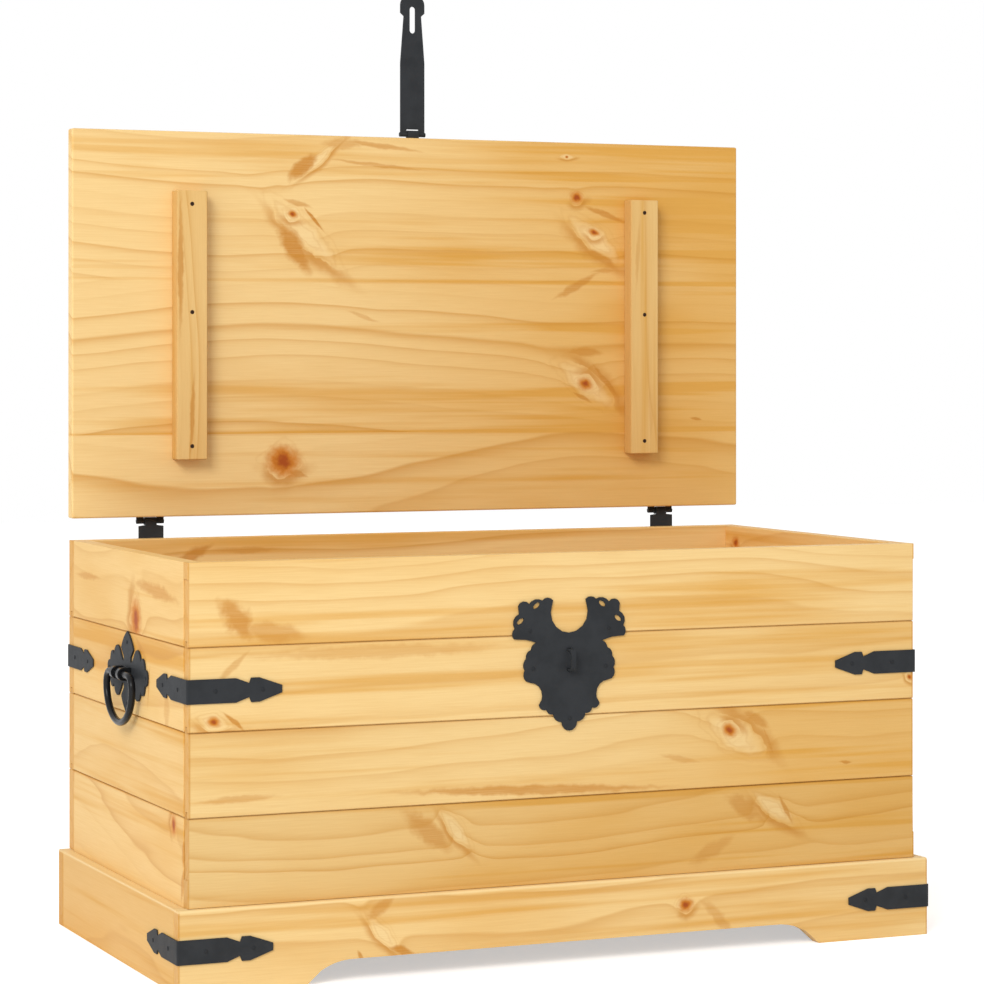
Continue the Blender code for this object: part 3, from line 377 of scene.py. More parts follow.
def make_fleck_group():
    """One darker fleck in the figure, shaped like a ragged lens."""
    graph, given, result = start_group("Pine fleck", {
        "Position": ORIGIN, "Centre": ORIGIN, "Length": 0.02, "Width": 0.005, "Tilt": 0.0, "Depth": 1.0,
        "Fleck In": 0.0,
    }, ("Fleck",))
    size = graph.math("MULTIPLY_ADD", given["Width"], 1.1, 0.001)
    shake = graph.scaled(ragged(graph, given["Position"], 70.0), graph.joined(size, size, 0.0))
    moved = graph.vector("ADD", place_from_centre(graph, given), shake)
    along, across, _ = graph.split(turned_place(graph, moved, given["Tilt"]))
    _, reach = lens_reach(graph, along, across, given["Length"], given["Width"])
    mark = graph.ramp(reach, 0.50, 1.15, 1.0, 0.0)
    pass_on(graph, given, result, "Fleck", graph.times(mark, given["Depth"]))


def make_board_edge_group():
    """Marks painted shade along a board's joints, its end grain at both ends and a painted highlight on an
    arris.
    """
    graph, given, result = start_group("Board edges", {
        "Position": ORIGIN, "End Low": -FAR, "End High": FAR, "Joint Low": -FAR, "Joint High": FAR,
        "Arris": FAR,
    }, ("Joint", "End", "Worn"))
    along, across, _ = graph.split(given["Position"])
    # The joint mark is painted shade, and the end mark is the end grain
    for label, place, start, stop in (("Joint", across, 0.0006, 0.0017), ("End", along, 0.0014, 0.0022)):
        inside = graph.math("MINIMUM", graph.minus(place, given[label + " Low"]),
                            graph.minus(given[label + " High"], place))
        graph.put(result[label], graph.ramp(inside, start, stop, 1.0, 0.0))
    # A painted highlight along the arris at the given height, which only the plinth has
    from_arris = graph.math("ABSOLUTE", graph.minus(across, given["Arris"]))
    graph.put(result["Worn"], graph.ramp(from_arris, 0.0012, 0.0034, 1.0, 0.0))


def make_figure_group():
    """Growth rings, streaks and fibres of a board. Its position runs along the grain, across and inwards."""
    graph, given, result = start_group("Pine figure", {
        "Position": ORIGIN, "Seed": 0.0, "Pith Across": 0.0, "Pith Depth": 0.06, "Ring Gap": 0.006,
        "Wander": 0.05, "Swell": 0.0,
    }, ("Line", "Streak", "Fibre", "Blush"))
    seed = given["Seed"]
    shift = graph.scaled(graph.joined(seed, seed, seed), (1.37, 2.11, 3.73))
    seeded = graph.vector("ADD", given["Position"], shift)
    _, across, depth = graph.split(given["Position"])
    shifted = graph.split(seeded)[0]
    # The pith wanders across and into the board along its length
    drift = graph.minus(graph.line_noise(graph.times(shifted, 1.6)), 0.5)
    sink = graph.minus(graph.line_noise(graph.plus(graph.times(shifted, 1.1), 37.0)), 0.5)
    y = graph.minus(across, graph.plus(given["Pith Across"], graph.times(drift, given["Wander"])))
    z = graph.minus(depth, graph.plus(given["Pith Depth"], graph.times(sink, given["Wander"])))
    radius = graph.math("SQRT", graph.plus(graph.times(y, y), graph.times(z, z)))
    wobble = graph.minus(graph.noise(graph.scaled(seeded, (4.0, 24.0, 24.0)), 1.0, 2.0), 0.5)
    radius = graph.plus(graph.plus(radius, graph.times(wobble, 0.010)), given["Swell"])
    # Rings of uneven width, each from pale spring wood to a summer line that ends sharply
    rings = graph.math("DIVIDE", radius, given["Ring Gap"])
    uneven = graph.line_noise(graph.plus(graph.times(rings, 0.45), seed))
    rings = graph.plus(rings, graph.times(uneven, 1.5))
    part = graph.math("FRACT", rings)
    slope = graph.ramp(part, 0.10, 0.93, smooth=False)
    rise = graph.plus(graph.times(graph.math("POWER", slope, 5.0), 0.65),
                      graph.times(graph.math("POWER", slope, 2.0), 0.35))
    line = graph.times(rise, graph.ramp(part, 0.91, 1.0, 1.0, 0.0))
    number = graph.times(graph.math("FLOOR", rings), 7.31)
    strength = graph.ramp(graph.line_noise(graph.plus(number, seed)), 0.30, 0.72, 0.12, 1.0)
    graph.put(result["Line"], graph.times(line, strength))
    streak = graph.noise(graph.scaled(seeded, (1.1, 38.0, 38.0)), 1.0, 3.0, 0.6)
    graph.put(result["Streak"], graph.ramp(streak, 0.50, 0.70))
    graph.put(result["Fibre"], graph.noise(graph.scaled(seeded, (22.0, 950.0, 950.0)), 1.0, 2.0, 0.6))
    graph.put(result["Blush"], graph.noise(graph.scaled(seeded, (3.0, 9.0, 9.0)), 1.0, 2.0))


# Each shade of pine and the setting that holds it
WOOD_SHADES = {"Pale Wood": "pale", "Grain Line": "line", "Warm Wood": "warm", "Eye Wood": "eye",
               "Flank Wood": "flank", "Knot Wood": "knot", "Knot Heart": "heart", "Seam": "seam"}
FIGURE_MARKS = ("Line", "Streak", "Fibre", "Blush")
KNOT_MARKS = ("Core", "Eye", "Flank", "Contour")
KNOT_SIZES = ("Core", "Core Stretch", "Eye Length", "Eye Width", "Tilt", "Swell Height", "Flank Side")


def make_pine_colour_group():
    """Turns the figure and knots of pine into its colour, roughness and relief."""
    graph, given, result = start_group("Pine colouring", {
        **dict.fromkeys(FIGURE_MARKS + KNOT_MARKS + ("Warmth", "Fleck", "Joint", "End", "Worn"), 0.0),
        **dict.fromkeys(WOOD_SHADES, WHITE), "Base Roughness": 0.42,
    }, ("Color", "Roughness", "Height"))
    line, fibre, core = given["Line"], given["Fibre"], given["Core"]
    blush = graph.ramp(given["Blush"], 0.42, 0.72, 0.0, 0.35)
    patches = graph.plus(graph.times(given["Streak"], 0.65), blush)
    fleck = graph.times(given["Fleck"], graph.ramp(fibre, 0.2, 0.7, 0.8, 1.05))
    dark = graph.times(graph.math("MAXIMUM", given["Flank"], fleck), 0.90, clamp=True)
    calm = graph.minus(1.0, graph.times(given["Eye"], 0.7))
    wood = given["Pale Wood"]
    # Each layer's share and shade, from the ground up
    for share, shade in (
            (graph.plus(patches, given["Warmth"], clamp=True), "Warm Wood"),
            (graph.times(given["Eye"], 0.65), "Eye Wood"),
            (dark, "Flank Wood"),
            (graph.times(graph.times(line, 0.62), calm), "Grain Line"),
            (graph.times(given["Contour"], 0.16), "Flank Wood"),
            (graph.ramp(fibre, 0.3, 0.75, 0.0, 0.16, smooth=False), "Grain Line"),
            (graph.ramp(core, 0.0, 0.80), "Knot Wood"),
            (graph.times(graph.ramp(core, 0.60, 1.05), 0.9), "Knot Heart"),
            (graph.times(given["End"], 0.58), "Grain Line"),
            # Painted highlight along the plinth's top arris
            (graph.times(given["Worn"], 0.7), "Eye Wood"),
            # Painted shade along the joints and over the battens' sides
            (graph.times(given["Joint"], 0.32), "Seam")):
        wood = graph.mix(share, wood, given[shade])
    graph.put(result["Color"], wood)
    matt = graph.plus(given["Base Roughness"], graph.times(line, -0.06))
    graph.put(result["Roughness"], graph.plus(matt, graph.times(fibre, 0.10)))
    graph.put(result["Height"], graph.plus(graph.times(line, 0.25), graph.times(fibre, 0.4)))


def make_forging_group():
    """Dark forged skin: soft hammer marks, fine scale and a cloudy tone, each a noise of its own."""
    graph, given, result = start_group("Forged iron", {
        "Position": ORIGIN, "Iron Color": WHITE, "Base Roughness": 0.5,
    }, ("Color", "Roughness", "Height"))
    hammer, scale, cloud = (graph.noise(given["Position"], *values) for values in (
        (95.0, 1.0, 0.4), (1400.0, 2.0, 0.6), (38.0, 3.0, 0.6)))
    darker, lighter = (graph.add("ShaderNodeVectorMath", {0: given["Iron Color"], "Scale": factor},
                                 operation="SCALE").outputs["Vector"] for factor in (0.88, 1.10))
    graph.put(result["Color"], graph.mix(graph.ramp(cloud, 0.3, 0.7), darker, lighter))
    rough = graph.plus(given["Base Roughness"], graph.ramp(scale, 0.2, 0.8, -0.06, 0.10, smooth=False))
    graph.put(result["Roughness"], rough)
    graph.put(result["Height"], graph.plus(graph.times(hammer, 0.8), graph.times(scale, 0.12)))


# Finishes

def start_material(name):
    made = bpy.data.materials.new(name)
    made.use_nodes = True
    return made, Graph(made.node_tree), made.node_tree.nodes["Principled BSDF"]


def apply_relief(graph, shader, height, strength, distance):
    bump = graph.add("ShaderNodeBump", {"Height": height, "Strength": strength, "Distance": distance})
    graph.put(shader.inputs["Normal"], bump.outputs["Normal"])


def pine(name, grain, seed, pith, ring_gap=0.014, wander=0.05, knots=(), flecks=(), tint=1.0,
         glue_lines=(), warm=NOT_WARMER, cool=0.0, ends=NO_EDGES, edges=NO_EDGES, joint_shade=1.0, arris=FAR):
    """Waxed pine for one board.

    The grain names the axes along the grain, across it and into the board. The pith is the middle of the
    growth rings, across the grain and into the board.
    """
    wood = bpy.context.scene.chest_wood
    made, graph, shader = start_material(name)
    axes = graph.split(graph.add("ShaderNodeTexCoord").outputs["Object"])
    position = graph.joined(*(axes["XYZ".index(axis)] for axis in grain))
    along, across, _ = graph.split(position)
    # Beyond each glue line the figure starts anew
    glue = 0.0
    for line in glue_lines:
        seed = graph.plus(seed, graph.times(graph.math("GREATER_THAN", across, line), 3.9))
        beside = graph.math("ABSOLUTE", graph.minus(across, line))
        glue = graph.math("MAXIMUM", glue, graph.ramp(beside, 0.0004, 0.0045, 0.55, 0.0))
    found = dict.fromkeys(("Swell", *KNOT_MARKS), 0.0)
    for u, v, *sizes in knots:
        values = dict(zip(KNOT_SIZES, sizes), Position=position, Centre=(u, v, 0.0))
        values["Tilt"] = math.radians(values["Tilt"])
        values.update({label + " In": value for label, value in found.items()})
        found = dict(use_group(graph, "Pine knot", values).items())
    fleck = 0.0
    for u, v, length, width, tilt, depth in flecks:
        fleck = use_group(graph, "Pine fleck", {
            "Position": position, "Centre": (u, v, 0.0), "Length": length, "Width": width,
            "Tilt": math.radians(tilt), "Depth": depth, "Fleck In": fleck})["Fleck"]
    figure = use_group(graph, "Pine figure", {
        "Position": position, "Seed": seed, "Pith Across": pith[0], "Pith Depth": pith[1],
        "Ring Gap": ring_gap, "Wander": wander, "Swell": found["Swell"]})
    edge = use_group(graph, "Board edges", {
        "Position": position, "End Low": ends[0], "End High": ends[1], "Joint Low": edges[0],
        "Joint High": edges[1], "Arris": arris})
    values = {label: colour([part * tint for part in getattr(wood, setting)])
              for label, setting in WOOD_SHADES.items()}
    values.update({label: figure[label] for label in FIGURE_MARKS})
    values.update({label: found[label] for label in KNOT_MARKS})
    warmth = graph.plus(graph.ramp(along, warm[0], warm[1], -cool, warm[2]), glue)
    # Painted shade along the joints, and over the whole side faces of a batten, at a share set per board
    joint = graph.times(edge["Joint"], joint_shade) if joint_shade < 1 else edge["Joint"]
    values.update({"Warmth": warmth, "Fleck": fleck, "Joint": joint, "End": edge["End"], "Worn": edge["Worn"],
                   "Base Roughness": wood.roughness})
    coloured = use_group(graph, "Pine colouring", values)
    graph.put(shader.inputs["Base Color"], coloured["Color"])
    graph.put(shader.inputs["Roughness"], coloured["Roughness"])
    shader.inputs["Specular IOR Level"].default_value = 0.1
    apply_relief(graph, shader, coloured["Height"], 0.35, 0.0004)
    return made


def forged_iron(name, bright=(1.0, 1.0, 1.0), polish=0.0, specular=0.06):
    """Blackened iron. Its polish is what rubbing has taken off its roughness."""
    iron = bpy.context.scene.chest_iron
    made, graph, shader = start_material(name)
    skin = use_group(graph, "Forged iron", {
        "Position": graph.add("ShaderNodeTexCoord").outputs["Object"],
        "Iron Color": colour([part * share for part, share in zip(iron.colour, bright)]),
        "Base Roughness": iron.roughness - polish})
    graph.put(shader.inputs["Base Color"], skin["Color"])
    graph.put(shader.inputs["Roughness"], skin["Roughness"])
    shader.inputs["Specular IOR Level"].default_value = specular
    apply_relief(graph, shader, skin["Height"], 0.5, 0.0005)
    return made


# Pieces

def add_object(name, bm):
    """Puts the mesh that was built into the scene."""
    mesh = bpy.data.meshes.new(name)
    bm.to_mesh(mesh)
    bm.free()
    item = bpy.data.objects.new(name, mesh)
    bpy.context.scene.collection.objects.link(item)
    return item


def add_piece(name, bm, material, body, smooth_angle=30.0):
    bmesh.ops.recalc_face_normals(bm, faces=bm.faces)
    piece = add_object(name, bm)
    piece.data.materials.append(material)
    piece.data.shade_smooth()
    piece.data.set_sharp_from_angle(angle=math.radians(smooth_angle))
    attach(piece, body)
    return piece


def body_of(node):
    return next(name for name, nodes in frame["record"]["behaviour"]["bodies"].items() if node in nodes)


def node_mesh(node):
    """The node's solid with its corners welded and its flat faces whole again."""
    bm = bmesh.new()
    bm.from_mesh(frame["nodes"][node].data)
    bmesh.ops.remove_doubles(bm, verts=bm.verts[:], dist=WELD)
    bmesh.ops.dissolve_limit(bm, angle_limit=math.radians(FLAT_ANGLE), verts=bm.verts[:], edges=bm.edges[:])
    return bm


def eased(node, material, edge, shortest=0.0, clamp=True):
    """A piece that stands for a node, with its sharp outer edges rounded over."""
    bm = node_mesh(node)
    corners = [e for e in bm.edges if e.is_manifold and e.is_convex and e.calc_length() > shortest
               and e.calc_face_angle() > math.radians(EASED_FROM_ANGLE)]
    bmesh.ops.bevel(bm, geom=corners, offset=edge, offset_type="OFFSET", segments=2, profile=0.5,
                    affect="EDGES", clamp_overlap=clamp)
    piece = add_piece(node + "_eased", bm, material, body_of(node))
    flat_faces = piece.modifiers.new("flat faces", "WEIGHTED_NORMAL")
    flat_faces.weight = 100
    flat_faces.keep_sharp = True
    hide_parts(node)


def turned(bm, profile, sides, base, direction):
    """Adds a closed turned body. The profile lists radius and height along the direction."""
    axis = Vector(direction).normalized()
    side = axis.orthogonal().normalized()
    other = axis.cross(side)
    turns = [math.tau * i / sides for i in range(sides)]
    spokes = [side * math.cos(t) + other * math.sin(t) for t in turns]
    rings = [[bm.verts.new(Vector(base) + axis * height + spoke * radius) for spoke in spokes]
             for radius, height in profile]
    for low, high in zip(rings, rings[1:]):
        for i in range(sides):
            j = (i + 1) % sides
            bm.faces.new((low[i], low[j], high[j], high[i]))
    bm.faces.new(list(reversed(rings[0])))
    bm.faces.new(rings[-1])


def nails(name, body, places):
    """Forged nails in one fitting: a low faceted head on a shank that fills its hole."""
    iron = bpy.context.scene.chest_iron
    shank = NAIL_HOLE_RADIUS - NAIL_CLEARANCE
    head, rise = iron.nail_radius, iron.nail_height
    profile = [(shank * NAIL_TIP, -iron.nail_length), (shank, -iron.nail_length + NAIL_POINT),
               (shank, NAIL_HEAD_LIFT), (head, NAIL_HEAD_LIFT),
               *((head * out, rise * up) for out, up in NAIL_FACETS)]
    bm = bmesh.new()
    for place, direction in places:
        turned(bm, profile, NAIL_SIDES, place, direction)
    add_piece(name, bm, bpy.data.materials["Nail iron"], body, smooth_angle=25.0)


def prism(outline, low, high):
    """A closed body that has one outline, in X and Z, from low to high in Y."""
    bm = bmesh.new()
    rings = [[bm.verts.new((x, y, z)) for x, z in outline] for y in (low, high)]
    bm.faces.new(rings[0])
    bm.faces.new(list(reversed(rings[1])))
    for i in range(len(outline)):
        j = (i + 1) % len(outline)
        bm.faces.new((rings[0][i], rings[0][j], rings[1][j], rings[1][i]))
    bmesh.ops.recalc_face_normals(bm, faces=bm.faces)
    return bm


def carved(bm, cutter):
    """The first solid with the second one cut out of it."""
    solid, tool = add_object("scratch", bm), add_object("scratch", cutter)
    cut = solid.modifiers.new("cut", "BOOLEAN")
    cut.operation, cut.solver, cut.object = "DIFFERENCE", "EXACT", tool
    result = bmesh.new()
    result.from_object(solid, bpy.context.evaluated_depsgraph_get())
    for item in (solid, tool):
        bpy.data.objects.remove(item)
    return result


def screw_mesh(radius, length):
    """A countersunk wood screw that points along Y, with a cross recess in its head."""
    bm = bmesh.new()
    head, shank = SCREW_HEAD_HEIGHT, SCREW_RADIUS
    profile = [(radius - SCREW_ARRIS, 0.0), (radius, SCREW_ARRIS), (radius, SCREW_RIM), (shank, head),
               (shank, length - SCREW_POINT), (shank * SCREW_TIP, length)]
    turned(bm, profile, SCREW_SIDES, ORIGIN, (0.0, 1.0, 0.0))
    bmesh.ops.recalc_face_normals(bm, faces=bm.faces)
    arm, half = radius * RECESS_ARM, radius * RECESS_HALF_WIDTH
    outline = []
    for turn in range(4):
        t = turn * math.pi / 2
        outline += [(x * math.cos(t) - z * math.sin(t), x * math.sin(t) + z * math.cos(t))
                    for x, z in ((half, half), (half, arm), (-half, arm))]
    return carved(bm, prism(outline, -RECESS_ABOVE, head * RECESS_DEPTH))


def ring_mesh(x, y, z):
    """A round rod swept along the closed path of the ring, which lies in an upright plane."""
    straight = RING_HALF_WIDTH - RING_CORNER
    quarter = math.pi / 2
    half = [(straight + RING_CORNER * math.sin(t), RING_CORNER * (math.cos(t) - 1))
            for t in (quarter * i / RING_CORNER_STEPS for i in range(RING_CORNER_STEPS + 1))]
    half += [(RING_HALF_WIDTH * math.cos(t), -RING_CORNER - (RING_DROP - RING_CORNER) * math.sin(t))
             for t in (quarter * i / RING_BOW_STEPS for i in range(1, RING_BOW_STEPS + 1))]
    path = [Vector(point) for point in half + [(-u, v) for u, v in reversed(half[:-1])]]
    bm = bmesh.new()
    rings = []
    for i, point in enumerate(path):
        along = (path[(i + 1) % len(path)] - path[i - 1]).normalized()
        outward = Vector((-along.y, along.x))
        ring = []
        for j in range(RING_SIDES):
            turn = math.tau * j / RING_SIDES
            spot = point + outward * (RING_RADIUS * math.cos(turn))
            ring.append(bm.verts.new((x + RING_RADIUS * math.sin(turn), y + spot.x, z + spot.y)))
        rings.append(ring)
    for i, ring in enumerate(rings):
        after = rings[(i + 1) % len(rings)]
        for j in range(RING_SIDES):
            k = (j + 1) % RING_SIDES
            bm.faces.new((ring[j], ring[k], after[k], after[j]))
    return bm


# A knot that has no core of its own
NO_CORE = 0.00001
# Knots of each board: place along and across the grain, core radius, how much longer than wide the core
# is, the eye's half length and half width, its tilt in degrees, the swell of the rings and the side of
# the dark flank
FRONT_KNOTS = {
    2: ((-0.4128, 0.2848, 0.0065, 1.4, 0.022, 0.011, -18, 0.006, -1.0),
        (0.4353, 0.2988, 0.004, 1.2, 0.008, 0.006, -52, 0.004, -1.0)),
    3: ((0.2084, 0.2421, NO_CORE, 1.0, 0.048, 0.019, -32, 0.01, 1.0),
        (0.2005, 0.2482, 0.009, 1.3, 0.015, 0.012, -23, 0.003, 1.0)),
    4: ((-0.1358, 0.1559, NO_CORE, 1.0, 0.03, 0.009, -53, 0.007, -1.0),
        (0.2564, 0.1572, NO_CORE, 1.0, 0.038, 0.012, -37, 0.008, -1.0)),
}
SIDE_KNOTS = {
    1: ((-0.037, 0.38, 0.024, 1.2, 0.03, 0.022, 84, 0.006, -1.0),),
    4: ((-0.1751, 0.1717, 0.011, 1.3, 0.016, 0.012, 90, 0.004, -1.0),),
}
INNER_KNOTS = {1: ((0.184, 0.433, 0.01, 1.2, 0.012, 0.009, 0, 0.004, -1.0),)}
LID_KNOTS = (
    (-0.1496, 0.8207, NO_CORE, 1.0, 0.062, 0.0165, -43, 0.01, -1.0),
    (-0.1659, 0.8443, 0.0055, 1.5, 0.013, 0.01, -24, 0.0, -1.0),
    (0.2142, 0.8713, 0.01, 1.1, 0.012, 0.01, 0, 0.004, -1.0),
    (0.2408, 0.8186, NO_CORE, 1.0, 0.05, 0.017, -39, 0.01, -1.0),
    (0.2379, 0.8281, 0.0055, 1.7, 0.013, 0.01, -17, 0.0, -1.0),
    (0.2283, 0.6351, NO_CORE, 1.0, 0.05, 0.019, -37, 0.012, 1.0),
    (0.2267, 0.6365, 0.009, 1.4, 0.017, 0.013, -21, 0.003, 1.0),
    (-0.178, 0.544, 0.0235, 1.1, 0.026, 0.021, -10, 0.006, -1.0),
    (0.2003, 0.9227, 0.002, 1.5, 0.012, 0.004, 0, 0.003, -1.0),
    (-0.1348, 0.9096, NO_CORE, 1.0, 0.04, 0.007, 40, 0.005, -1.0),
)
PLINTH_KNOTS = (
    (0.1407, 0.0554, 0.01, 1.1, 0.012, 0.011, 0, 0.006, -1.0),
    (-0.225, 0.05, NO_CORE, 1.0, 0.03, 0.009, -50, 0.006, -1.0),
)
# Flecks of each board: place along and across the grain, half length, half width, tilt in degrees and depth
FRONT_FLECKS = {
    1: ((-0.387, 0.393, 0.03, 0.0155, -52, 0.86), (-0.348, 0.377, 0.042, 0.013, -8, 0.58)),
    2: ((-0.39, 0.2843, 0.017, 0.003, -41, 0.95), (-0.3911, 0.3431, 0.026, 0.005, 41, 0.5),
        (-0.23, 0.353, 0.17, 0.009, 0, 0.35), (0.44, 0.299, 0.008, 0.004, 90, 0.9)),
    3: ((0.2338, 0.2586, 0.022, 0.008, -29, 0.75), (0.2505, 0.2328, 0.021, 0.003, -68, 0.8),
        (0.1373, 0.2191, 0.027, 0.004, -11, 0.4), (-0.04, 0.1935, 0.18, 0.0065, -2, 0.75),
        (-0.385, 0.202, 0.05, 0.005, 2, 0.45), (0.3509, 0.2043, 0.009, 0.0022, -3, 0.8)),
    4: ((0.2236, 0.1579, 0.036, 0.013, -30, 0.58), (0.272, 0.1544, 0.02, 0.003, -62, 0.75),
        (0.1777, 0.1132, 0.034, 0.01, 28, 0.42), (-0.1687, 0.1557, 0.04, 0.0145, -37, 0.66)),
}
BACK_FLECKS = {1: ((-0.295, 0.433, 0.03, 0.009, 25, 0.85), (-0.23, 0.438, 0.05, 0.005, 0, 0.45))}
SIDE_FLECKS = {
    1: ((-0.1125, 0.4167, 0.087, 0.009, 4, 0.65), (0.1521, 0.4164, 0.052, 0.005, -1, 0.55)),
    2: ((-0.0555, 0.3504, 0.025, 0.004, 27, 0.5), (-0.085, 0.31, 0.026, 0.0035, 100, 0.55),
        (-0.15, 0.29, 0.03, 0.011, 90, 0.4)),
    4: ((-0.213, 0.15, 0.022, 0.008, 110, 0.85), (-0.206, 0.112, 0.022, 0.006, 100, 0.75),
        (0.214, 0.185, 0.02, 0.006, 80, 0.5)),
}
LID_FLECKS = (
    (-0.1388, 0.8381, 0.021, 0.0024, -49, 1.0), (-0.1595, 0.8572, 0.02, 0.004, -15, 0.6),
    (-0.164, 0.803, 0.04, 0.015, -58, 0.98), (-0.1012, 0.9315, 0.03, 0.008, 0, 0.5),
    (-0.051, 0.9299, 0.06, 0.0035, -6, 0.65), (-0.057, 0.9065, 0.07, 0.003, -5, 0.6),
    (-0.153, 0.901, 0.026, 0.011, 40, 0.95), (0.2534, 0.8512, 0.036, 0.0045, -19, 0.8),
    (0.2463, 0.7966, 0.036, 0.0065, -26, 0.8), (0.2143, 0.7603, 0.038, 0.006, 28, 0.7),
    (0.2582, 0.7809, 0.025, 0.004, 7, 0.6), (0.224, 0.6769, 0.029, 0.007, -2, 0.7),
    (0.2547, 0.6402, 0.034, 0.0055, -49, 0.95), (0.2218, 0.6195, 0.016, 0.003, -26, 0.75),
    (-0.1588, 0.5278, 0.014, 0.006, -15, 0.85), (0.3824, 0.5917, 0.01, 0.0025, -11, 0.8),
    (-0.0742, 0.7203, 0.024, 0.003, -19, 0.4),
)
BATTEN_FLECKS = {
    "left": ((0.78, -0.3145, 0.09, 0.004, 0, 0.75), (0.6, -0.3, 0.055, 0.0035, 3, 0.7)),
    "right": ((0.8, 0.29, 0.05, 0.003, 3, 0.35), (0.6, 0.308, 0.04, 0.003, -2, 0.3)),
}
PLINTH_FLECKS = (
    (-0.2261, 0.0778, 0.021, 0.008, 37, 0.65), (-0.2018, 0.03, 0.017, 0.005, -18, 0.95),
    (-0.25, 0.027, 0.008, 0.003, -60, 0.9), (0.1818, 0.0384, 0.031, 0.008, -44, 0.45),
)
KNOTS = {"front": FRONT_KNOTS, "left": SIDE_KNOTS, "right": INNER_KNOTS}
FLECKS = {"front": FRONT_FLECKS, "back": BACK_FLECKS, "left": SIDE_FLECKS}
# Each wall's grain axes, and the seed that sets its figure apart
GRAINS = {"front": "XZY", "back": "XZY", "left": "YZX", "right": "YZX"}
WALL_SEEDS = {"front": 0.0, "back": 11.0, "left": 23.0, "right": 31.0}
# How far above or below the middle of a board its pith lies, by turns, and how deep
PITH_RISE, PITH_DEPTH = 0.12, 0.07
# How bright each board is, counted from the rim down, in the front wall and in the others
FRONT_TINT = {1: 1.0, 2: 0.98, 3: 0.95, 4: 0.893}
OTHER_TINT = {1: 1.0, 2: 1.0, 3: 0.97, 4: 0.98}
# Distance between the growth rings of each board in the front and back walls, and in the side walls
RING_GAP = {1: 0.0115, 2: 0.0125, 3: 0.0100, 4: 0.0095}
SIDE_RING_GAP = 0.0095
# Where along the grain a front board starts and ends to turn warmer, and by how much
FRONT_WARMTH = {1: (-0.1, 0.4, 0.0), 2: (-0.1, 0.4, 0.16), 3: (0.05, 0.30, 0.60), 4: (-0.75, 0.35, 0.58)}
# How warm the boards of the other walls are
OTHER_WARMTH = {"back": 0.04, "left": 0.24, "right": 0.22}
# Heights of the glue lines in the lid, and their places across the bottom panel
LID_GLUE_LINES = (0.578, 0.764)
BOTTOM_GLUE_LINES = (-0.1, 0.06)


class ChestOperator:
    """What every operator here shares: a user can undo it."""

    bl_options = {"REGISTER", "UNDO"}


class CHEST_OT_finishes(ChestOperator, bpy.types.Operator):
    """Makes the shared groups of wood figure and forged iron"""

    bl_idname = "chest.finishes"
    bl_label = "Shared Finishes"

    def execute(self, context):
        for make in (make_knot_group, make_fleck_group, make_board_edge_group, make_figure_group,
                     make_pine_colour_group, make_forging_group):
            make()
        forged_iron("Forged iron")
        forged_iron("Nail iron", (0.8, 0.8, 0.8))
        forged_iron("Handle iron", (0.3, 0.3, 0.3), polish=0.25, specular=0.16)
        forged_iron("Screw steel", (1.7, 0.9, 0.55))
        return {"FINISHED"}


class CHEST_OT_walls(ChestOperator, bpy.types.Operator):
    """Builds the boards of the four walls"""

    bl_idname = "chest.walls"
    bl_label = "Walls"

    def execute(self, context):
        wood = context.scene.chest_wood
        for wall, grain in GRAINS.items():
            front, long_wall = wall == "front", wall in ("front", "back")
            for number in range(1, BOARDS + 1):
                node = f"{wall}_board_{number}"
                low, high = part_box(node)
                lower = RIM_HEIGHT - number * BOARD_PITCH
                pith = lower + BOARD_PITCH / 2 + (-1 if number % 2 else 1) * PITH_RISE
                material = pine(
                    "Pine " + node, grain, seed=number * 2.3 + WALL_SEEDS[wall], pith=(pith, PITH_DEPTH),
                    ring_gap=RING_GAP[number] if long_wall else SIDE_RING_GAP,
                    knots=KNOTS.get(wall, {}).get(number, ()), flecks=FLECKS.get(wall, {}).get(number, ()),
                    tint=(FRONT_TINT if front else OTHER_TINT)[number],
                    warm=FRONT_WARMTH[number] if front else evenly_warm(OTHER_WARMTH[wall]),
                    ends=(low.x, high.x) if long_wall else NO_EDGES,
                    edges=(lower if number < BOARDS else -FAR, lower + BOARD_PITCH if number > 1 else FAR))
                eased(node, material, wood.edge, shortest=SHORTEST_EDGE)
        return {"FINISHED"}


class CHEST_OT_plinth(ChestOperator, bpy.types.Operator):
    """Builds the plinth's four boards"""

    bl_idname = "chest.plinth"
    bl_label = "Plinth"

    def execute(self, context):
        wood = context.scene.chest_wood
        for index, (wall, grain) in enumerate(GRAINS.items()):
            node, front = "plinth_" + wall, wall == "front"
            low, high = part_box(node)
            # Each plinth board's top arris gets a painted highlight
            material = pine(
                "Pine " + node, grain, seed=41.0 + index * 5.3, pith=(-0.06, 0.06), ring_gap=0.015,
                knots=PLINTH_KNOTS if front else (), flecks=PLINTH_FLECKS if front else (),
                ends=(low.x, high.x) if wall in ("front", "back") else NO_EDGES, arris=high.z,
                tint=0.97 if front else 0.935, warm=NOT_WARMER if front else evenly_warm(0.58))
            eased(node, material, wood.edge * 2, shortest=SHORTEST_EDGE)
        return {"FINISHED"}


class CHEST_OT_bottom(ChestOperator, bpy.types.Operator):
    """Builds the chest's bottom panel and its cleats"""

    bl_idname = "chest.bottom"
    bl_label = "Bottom"

    def execute(self, context):
        wood = context.scene.chest_wood
        panel = pine("Pine bottom_panel", "XYZ", seed=61.0, pith=(0.3, 0.2), glue_lines=BOTTOM_GLUE_LINES)
        eased("bottom_panel", panel, wood.edge)
        for index, (wall, grain) in enumerate(GRAINS.items()):
            node = "bottom_cleat_" + wall
            cleat = pine("Pine " + node, grain, seed=67.0 + index * 3.1, pith=(0.03, 0.03))
            eased(node, cleat, wood.edge)
        return {"FINISHED"}


